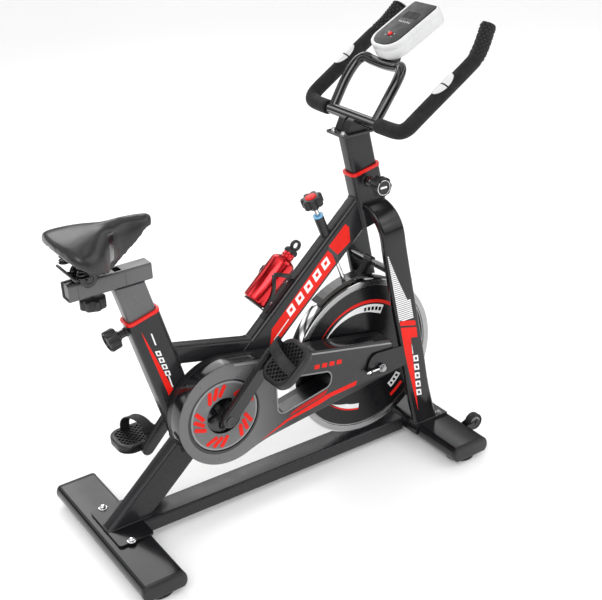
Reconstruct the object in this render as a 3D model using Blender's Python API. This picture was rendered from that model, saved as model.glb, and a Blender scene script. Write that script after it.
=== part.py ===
"""Indoor spin bike: a welded frame on two floor tubes, with its flywheel drive, seat, handlebar and brake.

Metres, +Z up, +X forward (from the seat to the handlebar) and +Y to the rider's left. The floor is z = 0.
Everything is modelled about the middle of the wheelbase. The empty named bike then moves the whole machine
so that the origin lies under the middle of its bounding box.
"""

import math

import bmesh
import bpy
from mathutils import Matrix, Vector

# ---------------------------------------------------------------- driving dimensions
GAP = 0.0003                # between pieces that touch on the real machine
BIKE_SHIFT = -0.024405      # puts the middle of the machine's length at x = 0
WALL = 0.0020               # steel tube wall

HALF_WHEELBASE = 0.4587     # from the middle to each floor tube
FLOOR_TUBE_LENGTH = 0.480
FLOOR_TUBE_WIDTH = 0.114
FLOOR_TUBE_HEIGHT = 0.041
FLOOR_TUBE_END = 0.0125     # how far the oval's rounded edge reaches in
FLOOR_TUBE_BOTTOM = 0.016
END_CAP_LENGTH = 0.012
FOOT_RADIUS = 0.038
FOOT_Y = 0.2033

PLATE_TOP = 0.0633          # top of the two mounting plates
MAIN_DEPTH, MAIN_WIDTH, MAIN_CORNER = 0.080, 0.040, 0.010
SEAT_TUBE_DEPTH, SEAT_TUBE_WIDTH = 0.084, 0.050
HEAD_TUBE_DEPTH, HEAD_TUBE_WIDTH = 0.084, 0.050
POST_DEPTH, POST_WIDTH, POST_CORNER = 0.074, 0.040, 0.010
SEAT_LEAN, HEAD_LEAN = math.radians(14.5), math.radians(11.6)
SEAT_TUBE_TOP, HEAD_TUBE_TOP = 0.5920, 0.7980
COLLAR_HEIGHT = 0.008
BLADE_DEPTH, BLADE_THICKNESS, BLADE_Y = 0.070, 0.020, 0.083

FLYWHEEL_RADIUS, FLYWHEEL_HALF_WIDTH = 0.220, 0.022
RIM_INNER_RADIUS = 0.202
AXLE_RADIUS = 0.006
CRANK_LENGTH = 0.188
CRANK_ANGLE = math.radians(46)
CRANK_AXLE_RADIUS = 0.0085
BELT_RADIUS_CRANK, BELT_RADIUS_FLYWHEEL = 0.096, 0.024   # mid line of the belt, 4 to 1
BELT_THICKNESS = 0.0024
BELT_Y = (-0.068, -0.052)
PEDAL_LENGTH, PEDAL_WIDTH, PEDAL_THICKNESS = 0.120, 0.104, 0.022
PEDAL_GAP = 0.005           # from the crank arm to the pedal
PEDAL_AXLE = 0.094          # how far the pedal's axle stands out of the crank arm
PEDAL_PITCH = {"right": math.radians(40), "left": 0.0}

COVER_RADIUS = 0.1345
COVER_FACE_Y, COVER_SPLIT_Y, COVER_BACK_Y = -0.086, -0.046, -0.0265
COVER_WALL = 0.0025
CRANK_DISC_RADIUS = 0.0926

BOTTLE_RADIUS = 0.032
BOTTLE_LOW, BOTTLE_TOP = 0.6150, 0.7430      # along the main tube
BOTTLE_ABOVE = 0.0923                        # from the main tube's middle line to the bottle's
GRIP_RADIUS, BAR_RADIUS = 0.018, 0.0125
SLEEVE_SIZE = 0.040
SADDLE_REAR, SADDLE_NOSE = -0.520, -0.280
SADDLE_CROWN = 0.832        # top of the nose above the floor
SADDLE_PAD = 0.029          # padding over the pan
WHEEL_RADIUS = 0.0235

X, Y, Z = Vector((1, 0, 0)), Vector((0, 1, 0)), Vector((0, 0, 1))
MAIN_FOOT, MAIN_HEAD = Vector((-0.4333, 0, 0.060)), Vector((0.300, 0, 0.705))
MAIN_DIR = (MAIN_HEAD - MAIN_FOOT).normalized()
MAIN_UP = MAIN_DIR.cross(Y)
SEAT_DIR = Vector((-math.sin(SEAT_LEAN), 0, math.cos(SEAT_LEAN)))
SEAT_BACK = Vector((-math.cos(SEAT_LEAN), 0, -math.sin(SEAT_LEAN)))
HEAD_DIR = Vector((-math.sin(HEAD_LEAN), 0, math.cos(HEAD_LEAN)))
FLYWHEEL = Vector((0.280, 0, 0.2843))
CRANK = Vector((-0.184, 0, 0.3085))
CRANK_DIR = Vector((math.cos(CRANK_ANGLE), 0, math.sin(CRANK_ANGLE)))
BRAKE_DIR = Vector((0.342, 0, -0.940)).normalized()
BRAKE_BASE = Vector((0.187, 0, 0.648))          # where the brake rod enters the main tube
BRAKE_PIVOT = Vector((0.318, 0, 0.550))
SADDLE_PIVOT = Vector((-0.455, 0, 0.7305))
SEAT_PIN = Vector((-0.409, 0, 0.555))
HEAD_PIN = Vector((0.296, 0, 0.776))
SLIDER_KNOB = Vector((-0.442, 0, 0.661))
MONITOR_LENGTH, MONITOR_WIDTH, MONITOR_DEPTH = 0.172, 0.106, 0.043
MONITOR_SLOPE = math.radians(26.5)
MONITOR_ALONG = Vector((math.cos(MONITOR_SLOPE), 0, math.sin(MONITOR_SLOPE)))
MONITOR_OUT = Vector((-math.sin(MONITOR_SLOPE), 0, math.cos(MONITOR_SLOPE)))
MONITOR_CENTRE = Vector((0.4295, 0, 1.1339))
MONITOR_BUTTON = Vector((0.394, 0, 1.1162))
WHEEL_AT = Vector((0.5405, 0.165, 0.055))

FINISHES = {                # colour, roughness, metallic
    "frame_paint": ((0.050, 0.050, 0.053, 1), 0.32, 0.35),
    "red_plastic": ((0.75, 0.02, 0.015, 1), 0.35, 0.0),
    "cover_plastic": ((0.045, 0.045, 0.048, 1), 0.38, 0.0),
    "black_plastic": ((0.012, 0.012, 0.013, 1), 0.42, 0.0),
    "white_plastic": ((0.80, 0.80, 0.80, 1), 0.35, 0.0),
    "rubber": ((0.015, 0.015, 0.015, 1), 0.75, 0.0),
    "foam": ((0.022, 0.022, 0.023, 1), 0.85, 0.0),
    "vinyl": ((0.030, 0.030, 0.032, 1), 0.45, 0.0),
    "chrome": ((0.80, 0.80, 0.81, 1), 0.08, 1.0),
    "steel": ((0.42, 0.42, 0.43, 1), 0.32, 1.0),
    "black_steel": ((0.018, 0.018, 0.019, 1), 0.35, 0.6),
    "felt": ((0.25, 0.18, 0.12, 1), 0.95, 0.0),
    "red_aluminium": ((0.62, 0.02, 0.03, 1), 0.22, 0.85),
    "lens": ((0.02, 0.02, 0.022, 1), 0.12, 0.0),
}


# ---------------------------------------------------------------- outlines, as (a, b) points
def arc(centre, radius, start, end, steps):
    """Points on an arc from start to end degrees, both ends included."""
    angles = [math.radians(start + (end - start) * i / steps) for i in range(steps + 1)]
    return [(centre[0] + radius * math.cos(t), centre[1] + radius * math.sin(t)) for t in angles]


def circle(radius, steps):
    return arc((0, 0), radius, 0, 360, steps)[:-1]


def rounded_rectangle(width, height, radius, steps=3):
    points = []
    for turn, (a, b) in enumerate(((1, 1), (-1, 1), (-1, -1), (1, -1))):
        centre = (a * (width / 2 - radius), b * (height / 2 - radius))
        points += arc(centre, radius, 90 * turn, 90 * turn + 90, steps)
    return points


def flat_oval(shrink=0.0, steps=6):
    """The floor tube's section about its own middle: flat top and bottom with half-ellipse edges."""
    half_height = FLOOR_TUBE_HEIGHT / 2 - shrink
    edge = FLOOR_TUBE_END - shrink * 0.5
    flat = FLOOR_TUBE_WIDTH / 2 - shrink - edge
    points = []
    for side, start in ((1, -90), (-1, 90)):
        for i in range(steps + 1):
            t = math.radians(start + 180 * i / steps)
            points.append((side * flat + edge * math.cos(t), half_height * math.sin(t)))
    return points


def rounded_polygon(corners, radii, steps=4):
    """The polygon with each corner replaced by an arc that touches both of its sides."""
    points = []
    for i, corner in enumerate(corners):
        here = Vector(corner)
        before, after = Vector(corners[i - 1]) - here, Vector(corners[(i + 1) % len(corners)]) - here
        half = before.angle(after) / 2
        reach = radii[i] / math.tan(half)
        bisector = (before.normalized() + after.normalized()).normalized()
        centre = here + bisector * (radii[i] / math.sin(half))
        first = here + before.normalized() * reach - centre
        turn = first.angle_signed(here + after.normalized() * reach - centre)
        for k in range(steps + 1):
            spoke = first.copy()
            spoke.rotate(Matrix.Rotation(-turn * k / steps, 2))
            points.append(tuple(centre + spoke))
    return points


def grown(points, distance):
    """A closed anticlockwise outline moved outwards by distance, or inwards where it is negative."""
    moved = []
    for i, point in enumerate(points):
        back = Vector(point) - Vector(points[i - 1])
        ahead = Vector(points[(i + 1) % len(points)]) - Vector(point)
        normals = [Vector((e.y, -e.x)).normalized() for e in (back, ahead)]
        middle = (normals[0] + normals[1]).normalized()
        moved.append(tuple(Vector(point) + middle * (distance / middle.dot(normals[0]))))
    return moved


# ---------------------------------------------------------------- solids, as bmeshes
def loft(rings, closed=False):
    """Joins equal rings of points in order, with flat end faces, or back to the first ring where closed."""
    bm = bmesh.new()
    loops = [[bm.verts.new(point) for point in ring] for ring in rings]
    pairs = list(zip(loops, loops[1:])) + ([(loops[-1], loops[0])] if closed else [])
    for low, high in pairs:
        for i in range(len(low)):
            bm.faces.new((low[i - 1], low[i], high[i], high[i - 1]))
    if not closed:
        bm.faces.new(loops[0])
        bm.faces.new(loops[-1])
    bmesh.ops.recalc_face_normals(bm, faces=bm.faces)
    return bm


def ring_at(outline, at, side, up):
    return [at + side * a + up * b for a, b in outline]


def prism(outline, low, high):
    """An (x, z) outline carried along Y from low to high."""
    return loft([[Vector((x, y, z)) for x, z in outline] for y in (low, high)])


def slab(outline, low, high):
    """An (x, y) outline carried along Z from low to high."""
    return loft([[Vector((x, y, z)) for x, y in outline] for z in (low, high)])


def block(low, high):
    corners = [(low[0], low[1]), (high[0], low[1]), (high[0], high[1]), (low[0], high[1])]
    return slab(corners, low[2], high[2])


def tube_rings(outline, path, side, ends=(None, None)):
    """The outline at each point of the path, its first axis along side. An end can be cut by a plane."""
    rings = []
    for i, point in enumerate(path):
        before = (point - path[i - 1]).normalized() if i else Vector()
        after = (path[i + 1] - point).normalized() if i + 1 < len(path) else Vector()
        along = (before + after).normalized()
        across = (side - along * side.dot(along)).normalized()
        ring = ring_at(outline, point, across, along.cross(across))
        plane = ends[0] if i == 0 else ends[1] if i + 1 == len(path) else None
        if plane:
            ring = [p - along * ((p - point).dot(plane) / along.dot(plane)) for p in ring]
        rings.append(ring)
    return rings


def rod(outline, path, side=Y, ends=(None, None)):
    return loft(tube_rings(outline, path, side, ends))


def pipe(outer, inner, path, side=Y, ends=(None, None)):
    """A tube with a hole through it."""
    outside, inside = tube_rings(outer, path, side, ends), tube_rings(inner, path, side, ends)
    return loft(outside + inside[::-1], closed=True)


def cylinder(radius, start, end, steps=16):
    direction = (end - start).normalized()
    return rod(circle(radius, steps), [start, end], Y if abs(direction.y) < 0.9 else X)


def turned(profile, base, axis, steps, closed=False):
    """(radius, height) points spun about the axis through base. A closed profile leaves a bore."""
    side = (Y if abs(axis.y) < 0.9 else X).copy()
    up = axis.cross(side)
    return loft([ring_at(circle(r, steps), base + axis * h, side, up) for r, h in profile], closed)


def washer(inner, outer, base, axis, low, high, steps):
    profile = [(outer, low), (outer, high), (inner, high), (inner, low)]
    return turned(profile, base, axis, steps, closed=True)


def lobed(radius, depth, lobes, steps):
    """A knob's outline, with round lobes."""
    angles = [2 * math.pi * i / steps for i in range(steps)]
    sizes = [radius - depth * (0.5 - 0.5 * math.cos(lobes * t)) for t in angles]
    return [(r * math.cos(t), r * math.sin(t)) for r, t in zip(sizes, angles)]


# ---------------------------------------------------------------- objects and joints
def make_finishes():
    made = {}
    for name, (colour, roughness, metallic) in FINISHES.items():
        made[name] = bpy.data.materials.new(name)
        made[name].use_nodes = True
        shader = made[name].node_tree.nodes["Principled BSDF"]
        shader.inputs["Base Color"].default_value = colour
        shader.inputs["Roughness"].default_value = roughness
        shader.inputs["Metallic"].default_value = metallic
    return made


for leftover in list(bpy.data.objects):
    bpy.data.objects.remove(leftover, do_unlink=True)
MATERIALS = make_finishes()
PIVOTS = {}                 # moving body -> (its empty, the empty's place on the bike)


def pivot(name, place, parent=None):
    """An empty on a joint's axis. What moves with the joint is parented to it."""
    empty = bpy.data.objects.new(name + "_pivot" if parent else name, None)
    bpy.context.scene.collection.objects.link(empty)
    if parent:
        empty.parent = PIVOTS[parent][0]
        empty.location = place - PIVOTS[parent][1]
    PIVOTS[name] = (empty, place)
    return empty


def piece(name, bm, finish, body="bike"):
    """A named object from a solid modelled in the bike's frame."""
    empty, place = PIVOTS[body]
    bmesh.ops.transform(bm, matrix=Matrix.Translation(-place), verts=bm.verts)
    mesh = bpy.data.meshes.new(name)
    bm.to_mesh(mesh)
    bm.free()
    mesh.shade_smooth()
    mesh.set_sharp_from_angle(angle=math.radians(32))
    mesh.materials.append(MATERIALS[finish])
    made = bpy.data.objects.new(name, mesh)
    made.parent = empty
    bpy.context.scene.collection.objects.link(made)
    made["body"] = body
    made["finish"] = finish
    return made


def work(target, operation, solids):
    for bm in solids:
        label = f"{target.name}_{operation.lower()}_{len(target.modifiers)}"
        tool = piece(label, bm, target["finish"], target["body"])
        tool.hide_render = True
        tool.display_type = "WIRE"
        modifier = target.modifiers.new(label, "BOOLEAN")
        modifier.operation = operation
        modifier.object = tool
    return target


def join(target, *solids):
    return work(target, "UNION", solids)


def cut(target, *solids):
    return work(target, "DIFFERENCE", solids)


def seat_point(z):
    return Vector((-0.3225 - (z - 0.55) * math.tan(SEAT_LEAN), 0, z))


def head_point(z):
    return Vector((0.3026 - (z - 0.78) * math.tan(HEAD_LEAN), 0, z))


def main_point(along, above, y=0.0):
    return MAIN_FOOT + MAIN_DIR * along + MAIN_UP * above + Y * y


def polar(radius, degrees, centre=FLYWHEEL):
    t = math.radians(degrees)
    return centre.x + radius * math.cos(t), centre.z + radius * math.sin(t)


# ---------------------------------------------------------------- floor tubes, caps, feet, bolts
def floor_ring(centre_x, y, shrink):
    middle = FLOOR_TUBE_BOTTOM + FLOOR_TUBE_HEIGHT / 2
    return [Vector((centre_x + a, y, middle + b)) for a, b in flat_oval(shrink)]


def floor_tube(name, centre_x):
    half = FLOOR_TUBE_LENGTH / 2
    rings = [floor_ring(centre_x, y, s) for y, s in ((-half, 0), (half, 0), (half, 0.002), (-half, 0.002))]
    tube = piece(name, loft(rings, closed=True), "frame_paint")
    for y in (-FOOT_Y, FOOT_Y):
        foot = Vector((centre_x, y, 0))
        cut(tube, cylinder(0.0053, foot + Z * 0.010, foot + Z * 0.024, 12))
    return tube


def end_cap(name, centre_x, side):
    half = FLOOR_TUBE_LENGTH / 2
    steps = (
        (half - 0.016, 0.0025), (half + GAP, 0.0025), (half + GAP, 0.0),
        (half + END_CAP_LENGTH * 0.6, 0.0), (half + END_CAP_LENGTH, 0.004),
    )
    rings = [floor_ring(centre_x, side * y, shrink) for y, shrink in steps]
    return piece(name, loft(rings), "black_plastic")


def foot(name, centre_x, y):
    at = Vector((centre_x, y, 0))
    pivot(name, at, "bike")
    top = FLOOR_TUBE_BOTTOM - GAP
    profile = [
        (FOOT_RADIUS - 0.002, 0), (FOOT_RADIUS, 0.003), (FOOT_RADIUS - 0.003, 0.009),
        (0.013, top - 0.001), (0.013, top), (0.005, top), (0.005, 0.044),
    ]
    return piece(name, turned(profile, at, Z, 16), "rubber", name)


def rear_bolt(name, y):
    at = Vector((-0.459, y, PLATE_TOP + GAP))
    profile = [(0.0045, -0.022), (0.0045, 0), (0.0115, 0), (0.0115, 0.0015), (0.009, 0.0018),
               (0.0085, 0.005), (0.0055, 0.0078), (0.0015, 0.009)]
    return piece(name, turned(profile, at, Z, 16), "chrome")


def transport_wheel(name, side):
    at = Vector((WHEEL_AT.x, side * WHEEL_AT.y, WHEEL_AT.z))
    pivot(name, at, "bike")
    profile = [(WHEEL_RADIUS, -0.007), (WHEEL_RADIUS, 0.007), (WHEEL_RADIUS - 0.003, 0.010),
               (0.0043, 0.010), (0.0043, -0.010), (WHEEL_RADIUS - 0.003, -0.010)]
    return piece(name, turned(profile, at, Y, 18, closed=True), "rubber", name)


def wheel_bracket(side):
    """Two cheeks on the front floor tube and the pin that the transport wheel turns on."""
    y = side * WHEEL_AT.y
    centre = (WHEEL_AT.x, WHEEL_AT.z)
    front = HALF_WHEELBASE + FLOOR_TUBE_WIDTH / 2
    outline = [(front - 0.010, 0.026)] + arc(centre, 0.011, -60, 90, 5) + [(front - 0.010, 0.053)]
    cheeks = [prism(outline, y + off - 0.0015, y + off + 0.0015) for off in (-0.0125, 0.0125)]
    ends = [Vector((centre[0], y + off, centre[1])) for off in (-0.0135, 0.0135)]
    pin = cylinder(0.004, *ends, 12)
    return cheeks + [pin]


def make_base():
    rear = floor_tube("rear_stabiliser", -HALF_WHEELBASE)
    front = floor_tube("front_stabiliser", HALF_WHEELBASE)
    for side in (-1, 1):
        bolt = Vector((-0.459, side * 0.081, 0))
        cut(rear, cylinder(0.005, bolt + Z * 0.045, bolt + Z * 0.07, 12))
        join(front, *wheel_bracket(side))
    for end, centre_x in (("rear", -HALF_WHEELBASE), ("front", HALF_WHEELBASE)):
        for hand, side in (("right", -1), ("left", 1)):
            end_cap(f"{end}_{hand}_cap", centre_x, side)
            foot(f"{end}_{hand}_foot", centre_x, side * FOOT_Y)
    rear_bolt("rear_right_bolt", -0.081)
    rear_bolt("rear_left_bolt", 0.081)
    transport_wheel("right_transport_wheel", -1)
    transport_wheel("left_transport_wheel", 1)


# ---------------------------------------------------------------- welded frame
def blade_path(side):
    points = (
        (0.3170, 0.016, 0.7075), (0.3185, 0.034, 0.7050), (0.3215, 0.052, 0.6945),
        (0.3250, 0.067, 0.6780), (0.3285, 0.0775, 0.6560), (0.3315, 0.082, 0.6300),
        (0.3355, BLADE_Y, 0.594), (0.3575, BLADE_Y, 0.467), (0.388, BLADE_Y, 0.300),
        (0.409, BLADE_Y, 0.169), (0.4355, BLADE_Y, 0.058),
    )
    return [Vector((x, side * y, z)) for x, y, z in points]


def blade(side):
    outline = rounded_rectangle(BLADE_DEPTH, BLADE_THICKNESS, 0.007, 2)
    return rod(outline, blade_path(side), X, (None, Z))


def blade_hollow(side):
    """The room inside a blade, open underneath."""
    outline = rounded_rectangle(BLADE_DEPTH - 2 * WALL, BLADE_THICKNESS - 2 * WALL, 0.004, 1)
    path = blade_path(side)[6:]
    path[-1] = path[-1] + (path[-1] - path[-2]).normalized() * 0.004
    return rod(outline, path, X, (None, Z))


def front_sleeve():
    """The bent plate that saddles the front floor tube."""
    rear = HALF_WHEELBASE - FLOOR_TUBE_WIDTH / 2
    outer = [(0.506, PLATE_TOP)] + arc((rear + 0.0165, 0.041), 0.0223, 90, 180, 5)
    outer.append((rear - 0.0058, 0.030))
    inner = [(rear - GAP, 0.030), (rear - GAP, 0.0370)]
    for t in (22.5, 45, 67.5, 90):
        a = math.radians(t)
        inner.append((rear - GAP + 0.0128 * (1 - math.cos(a)), 0.0368 + 0.0205 * math.sin(a)))
    inner.append((0.506, 0.0573))
    return prism(outer + inner, -0.096, 0.096)


def dropout(side):
    """The plate behind a blade that carries the flywheel axle, and the lug for its tension bolt."""
    outline = arc((0.273, 0.2960), 0.032, 100, 250, 8)
    outline += [(0.325, 0.2580), (0.366, 0.262), (0.356, 0.322)]
    plate = prism(outline, side * 0.0880, side * 0.0925)
    inner, outer = sorted((side * 0.090, side * 0.104))
    lug = block((0.2420, inner, 0.275), (0.2460, outer, 0.294))
    return plate, lug


def make_frame():
    main = rounded_rectangle(MAIN_WIDTH, MAIN_DEPTH, MAIN_CORNER, 2)
    main_inside = rounded_rectangle(MAIN_WIDTH - 2 * WALL, MAIN_DEPTH - 2 * WALL, MAIN_CORNER - WALL, 1)
    seat = rounded_rectangle(SEAT_TUBE_WIDTH, SEAT_TUBE_DEPTH, 0.012, 2)
    head = rounded_rectangle(HEAD_TUBE_WIDTH, HEAD_TUBE_DEPTH, 0.012, 2)
    bore = rounded_rectangle(POST_WIDTH + 2 * GAP, POST_DEPTH + 2 * GAP, POST_CORNER, 2)
    upper = rounded_rectangle(0.038, 0.046, 0.008, 2)
    beam = [Vector((-HALF_WHEELBASE + 0.0573, 0, 0.0449)), Vector((HALF_WHEELBASE - 0.0600, 0, 0.0344))]
    plate = rounded_rectangle(0.092, 0.170, 0.008, 2)
    plate = [(x - 0.446, y) for x, y in plate]

    frame = piece("main_frame", rod(main, [MAIN_FOOT, MAIN_HEAD], Y, (Z, None)), "frame_paint")
    join(
        frame,
        rod(seat, [seat_point(0.236), seat_point(SEAT_TUBE_TOP)], Y, (MAIN_UP, None)),
        rod(upper, [Vector((-0.272, 0, 0.4731)), Vector((-0.030, 0, 0.4150))]),
        rod(head, [head_point(0.657), head_point(HEAD_TUBE_TOP)]),
        blade(-1),
        blade(1),
        rod(rounded_rectangle(0.068, 0.038, 0.006, 2), beam, Y, (X, X)),
        slab(plate, PLATE_TOP - 0.006, PLATE_TOP),
        front_sleeve(),
    )
    for side in (-1, 1):
        join(frame, *dropout(side))
    cut(
        frame,
        rod(main_inside, [main_point(-0.012, 0), main_point(0.880, 0)], Y, (Z, None)),
        rod(rounded_rectangle(0.063, 0.033, 0.004, 1), [beam[0] - X * 0.01, beam[1] - X * 0.03], Y, (X, X)),
        rod(bore, [seat_point(0.300), seat_point(SEAT_TUBE_TOP + 0.02)]),
        rod(bore, [head_point(0.600), head_point(HEAD_TUBE_TOP + 0.02)]),
        blade_hollow(-1),
        blade_hollow(1),
    )
    join(
        frame,
        cylinder(0.0225, CRANK - Y * 0.034, CRANK + Y * 0.034, 24),
        cylinder(0.0125, BRAKE_BASE - BRAKE_DIR * 0.062, BRAKE_BASE + BRAKE_DIR * 0.012, 16),
        cylinder(0.005, BRAKE_PIVOT - Y * 0.080, BRAKE_PIVOT + Y * 0.080, 12),
    )
    cut(
        frame,
        cylinder(0.0180, CRANK - Y * 0.05, CRANK + Y * 0.05, 24),
        cylinder(0.0064, BRAKE_BASE - BRAKE_DIR * 0.08, BRAKE_BASE + BRAKE_DIR * 0.10, 12),
        cylinder(AXLE_RADIUS + GAP, FLYWHEEL - Y * 0.11, FLYWHEEL + Y * 0.11, 16),
        cylinder(0.0053, seat_pin_point(0), seat_pin_point(0.060), 12),
        cylinder(0.0053, HEAD_PIN - Y * 0.04, HEAD_PIN, 12),
    )
    for side in (-1, 1):
        bolt = Vector((-0.459, side * 0.081, 0))
        tension = Vector((0.244, side * 0.0990, FLYWHEEL.z))
        cut(
            frame,
            cylinder(0.005, bolt + Z * 0.05, bolt + Z * 0.07, 12),
            cylinder(0.0034, tension - X * 0.01, tension + X * 0.01, 10),
        )
    return frame


def collar(name, point, height):
    """The trim ring at the top of a tube, with the post running through it."""
    direction = SEAT_DIR if name == "seat_collar" else HEAD_DIR
    start = point(height) + direction * GAP
    outer = rounded_rectangle(SEAT_TUBE_WIDTH + 0.003, SEAT_TUBE_DEPTH + 0.003, 0.013, 2)
    inner = rounded_rectangle(POST_WIDTH + 2 * GAP, POST_DEPTH + 2 * GAP, POST_CORNER, 2)
    return piece(name, pipe(outer, inner, [start, start + direction * COLLAR_HEIGHT]), "red_plastic")


# ---------------------------------------------------------------- flywheel and drive
def make_flywheel():
    pivot("flywheel", FLYWHEEL, "bike")
    w = FLYWHEEL_HALF_WIDTH
    profile = [
        (FLYWHEEL_RADIUS, -w + 0.003), (FLYWHEEL_RADIUS, w - 0.003), (FLYWHEEL_RADIUS - 0.003, w),
        (RIM_INNER_RADIUS, w), (RIM_INNER_RADIUS - 0.001, w - 0.004), (0.028, w - 0.004), (0.026, 0.029),
        (0.0173, 0.029), (0.0173, -0.029), (0.026, -0.029), (0.028, -w + 0.004),
        (RIM_INNER_RADIUS - 0.001, -w + 0.004), (RIM_INNER_RADIUS, -w), (FLYWHEEL_RADIUS - 0.003, -w),
    ]
    wheel = piece("flywheel", turned(profile, FLYWHEEL, Y, 40, closed=True), "chrome", "flywheel")
    inside = w - 0.004 - 0.0025
    cut(wheel, washer(0.030, RIM_INNER_RADIUS, FLYWHEEL, Y, -inside, inside, 32))
    for degrees in (90, 210, 330):
        x, z = polar(0.100, degrees)
        cut(wheel, cylinder(0.008, Vector((x, 0.010, z)), Vector((x, 0.030, z)), 10))
    sleeve = washer(AXLE_RADIUS + GAP, 0.017, FLYWHEEL, Y, -0.028, 0.028, 24)
    piece("flywheel_bearing", sleeve, "steel", "flywheel")
    bore, hub = AXLE_RADIUS + GAP, 0.016
    surface = BELT_RADIUS_FLYWHEEL - BELT_THICKNESS / 2 - GAP
    flange = surface + 0.005
    low, high = BELT_Y[0] - GAP, BELT_Y[1] + GAP
    profile = [
        (bore, -0.0293), (hub, -0.0293), (hub, high + 0.0017), (flange, high + 0.0017), (flange, high),
        (surface, high), (surface, low), (flange, low), (flange, low - 0.0017), (bore, low - 0.0017),
    ]
    piece("flywheel_pulley", turned(profile, FLYWHEEL, Y, 18, closed=True), "steel", "flywheel")


def make_axle():
    """The fixed axle with its two nuts outside the dropouts, and the eye bolts that tension it."""
    nut = 0.0080
    shaft = cylinder(AXLE_RADIUS, FLYWHEEL - Y * 0.109, FLYWHEEL + Y * 0.109, 16)
    axle = piece("flywheel_axle", shaft, "steel")
    for hand, side in (("right", -1), ("left", 1)):
        outer = FLYWHEEL + Y * side * 0.1012
        join(axle, cylinder(nut, outer, outer + Y * side * 0.005, 6))
        eye = FLYWHEEL + Y * side * 0.0990
        ring = washer(AXLE_RADIUS + GAP, 0.0105, eye, Y, -0.0019, 0.0019, 18)
        bolt = piece(f"{hand}_tension_bolt", ring, "chrome")
        shank = cylinder(0.003, eye - X * 0.0090, eye - X * 0.055, 8)
        lock = cylinder(0.0055, eye - X * 0.0385, eye - X * 0.0435, 6)
        join(bolt, shank, lock)


def make_crank():
    pivot("crank", CRANK, "bike")
    bottom = [
        (0.0177, -0.034), (0.0177, 0.034), (CRANK_AXLE_RADIUS + GAP, 0.034),
        (CRANK_AXLE_RADIUS + GAP, -0.0375), (0.0215, -0.0375), (0.0215, -0.034 - GAP),
        (0.0177, -0.034 - GAP),
    ]
    piece("bottom_bracket", turned(bottom, CRANK, Y, 18, closed=True), "steel")
    shaft = cylinder(CRANK_AXLE_RADIUS, CRANK - Y * 0.109, CRANK + Y * 0.099, 16)
    piece("crank_axle", shaft, "steel", "crank")

    bore = CRANK_AXLE_RADIUS + GAP
    surface = BELT_RADIUS_CRANK - BELT_THICKNESS / 2 - GAP
    low, high = BELT_Y[0] - GAP, BELT_Y[1] + GAP
    pulley = [
        (bore, -0.0740), (0.020, -0.0740), (0.020, -0.0620), (surface - 0.008, -0.0620),
        (surface - 0.008, low), (surface, low), (surface, high), (surface - 0.008, high),
        (surface - 0.008, -0.0590), (0.020, -0.0590), (0.020, -0.0420), (bore, -0.0420),
    ]
    piece("drive_pulley", turned(pulley, CRANK, Y, 32, closed=True), "black_steel", "crank")
    disc = [
        (bore, -0.0768), (0.0440, -0.0768), (0.0465, -0.0845), (CRANK_DISC_RADIUS, -0.0845),
        (CRANK_DISC_RADIUS, -0.0825), (0.0485, -0.0825), (0.0455, -0.0743), (bore, -0.0743),
    ]
    piece("crank_disc", turned(disc, CRANK, Y, 36, closed=True), "cover_plastic", "crank")
    crank_arm("right_crank", -1, -0.098, -0.115, CRANK_DIR)
    crank_arm("left_crank", 1, 0.088, 0.105, -CRANK_DIR)


def arm_outline(root, tip, length):
    """The crank's outline along its own direction, narrowing from the root to the tip."""
    lean = math.degrees(math.asin((root - tip) / length))
    around_root = arc((0, 0), root, 90 - lean, 270 + lean, 8)
    return around_root + arc((length, 0), tip, -90 + lean, 90 - lean, 6)


def crank_arm(name, side, inner, outer, direction):
    up = direction.cross(Y)
    outline = arm_outline(0.020, 0.0165, CRANK_LENGTH)
    rings = [[CRANK + direction * a + up * b + Y * y for a, b in outline] for y in (inner, outer)]
    arm = piece(name, loft(rings), "black_steel", "crank")
    boss = -0.0785 if side < 0 else 0.0480
    join(arm, cylinder(0.0155, CRANK + Y * boss, CRANK + Y * (inner + outer) / 2, 18))
    tip = CRANK + direction * CRANK_LENGTH
    middle = tip + Y * (inner + outer) / 2
    join(arm, cylinder(AXLE_RADIUS, middle, tip + Y * (outer + side * PEDAL_AXLE), 14))
    cut(arm, cylinder(CRANK_AXLE_RADIUS + GAP, CRANK, CRANK + Y * (outer - side * 0.005), 16))
    make_pedal("right" if side < 0 else "left", side, outer, tip)
    return arm


def make_pedal(hand, side, crank_face, tip):
    pitch = PEDAL_PITCH[hand]
    along = Vector((math.cos(pitch), 0, math.sin(pitch)))
    up = Vector((-math.sin(pitch), 0, math.cos(pitch)))
    body = f"{hand}_pedal"
    inner = crank_face + side * PEDAL_GAP
    middle = tip + Y * (inner + side * PEDAL_WIDTH / 2)
    pivot(body, tip, "crank")
    outline = rounded_rectangle(PEDAL_LENGTH, PEDAL_WIDTH, 0.036, 4)
    half = PEDAL_THICKNESS / 2
    rings = [ring_at(outline, middle + up * h, along, Y) for h in (-half, half)]
    pedal = piece(body, loft(rings), "black_plastic", body)
    bore_end = crank_face + side * (PEDAL_AXLE + 0.001)
    cut(pedal, cylinder(AXLE_RADIUS + GAP, tip + Y * crank_face, tip + Y * bore_end, 14))
    make_strap(hand, side, middle, along, up, body)
    return pedal


def make_strap(hand, side, middle, along, up, body):
    """The toe strap: a band that arches over the pedal from its inner edge to its outer edge."""
    foot = PEDAL_THICKNESS / 2 + GAP
    half_span, height, skew = PEDAL_WIDTH / 2 - 0.007, 0.046, 0.016
    path = []
    for i in range(11):
        t = math.pi * i / 10
        flat = middle - Y * side * half_span * math.cos(t) + along * (0.008 + skew * math.cos(t))
        path.append(flat + up * (foot + height * math.sin(t) ** 0.8))
    band = rounded_rectangle(0.032, 0.0022, 0.0008, 1)
    return piece(f"{hand}_toe_strap", rod(band, path, along, (up, up)), "rubber", body)


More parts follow.
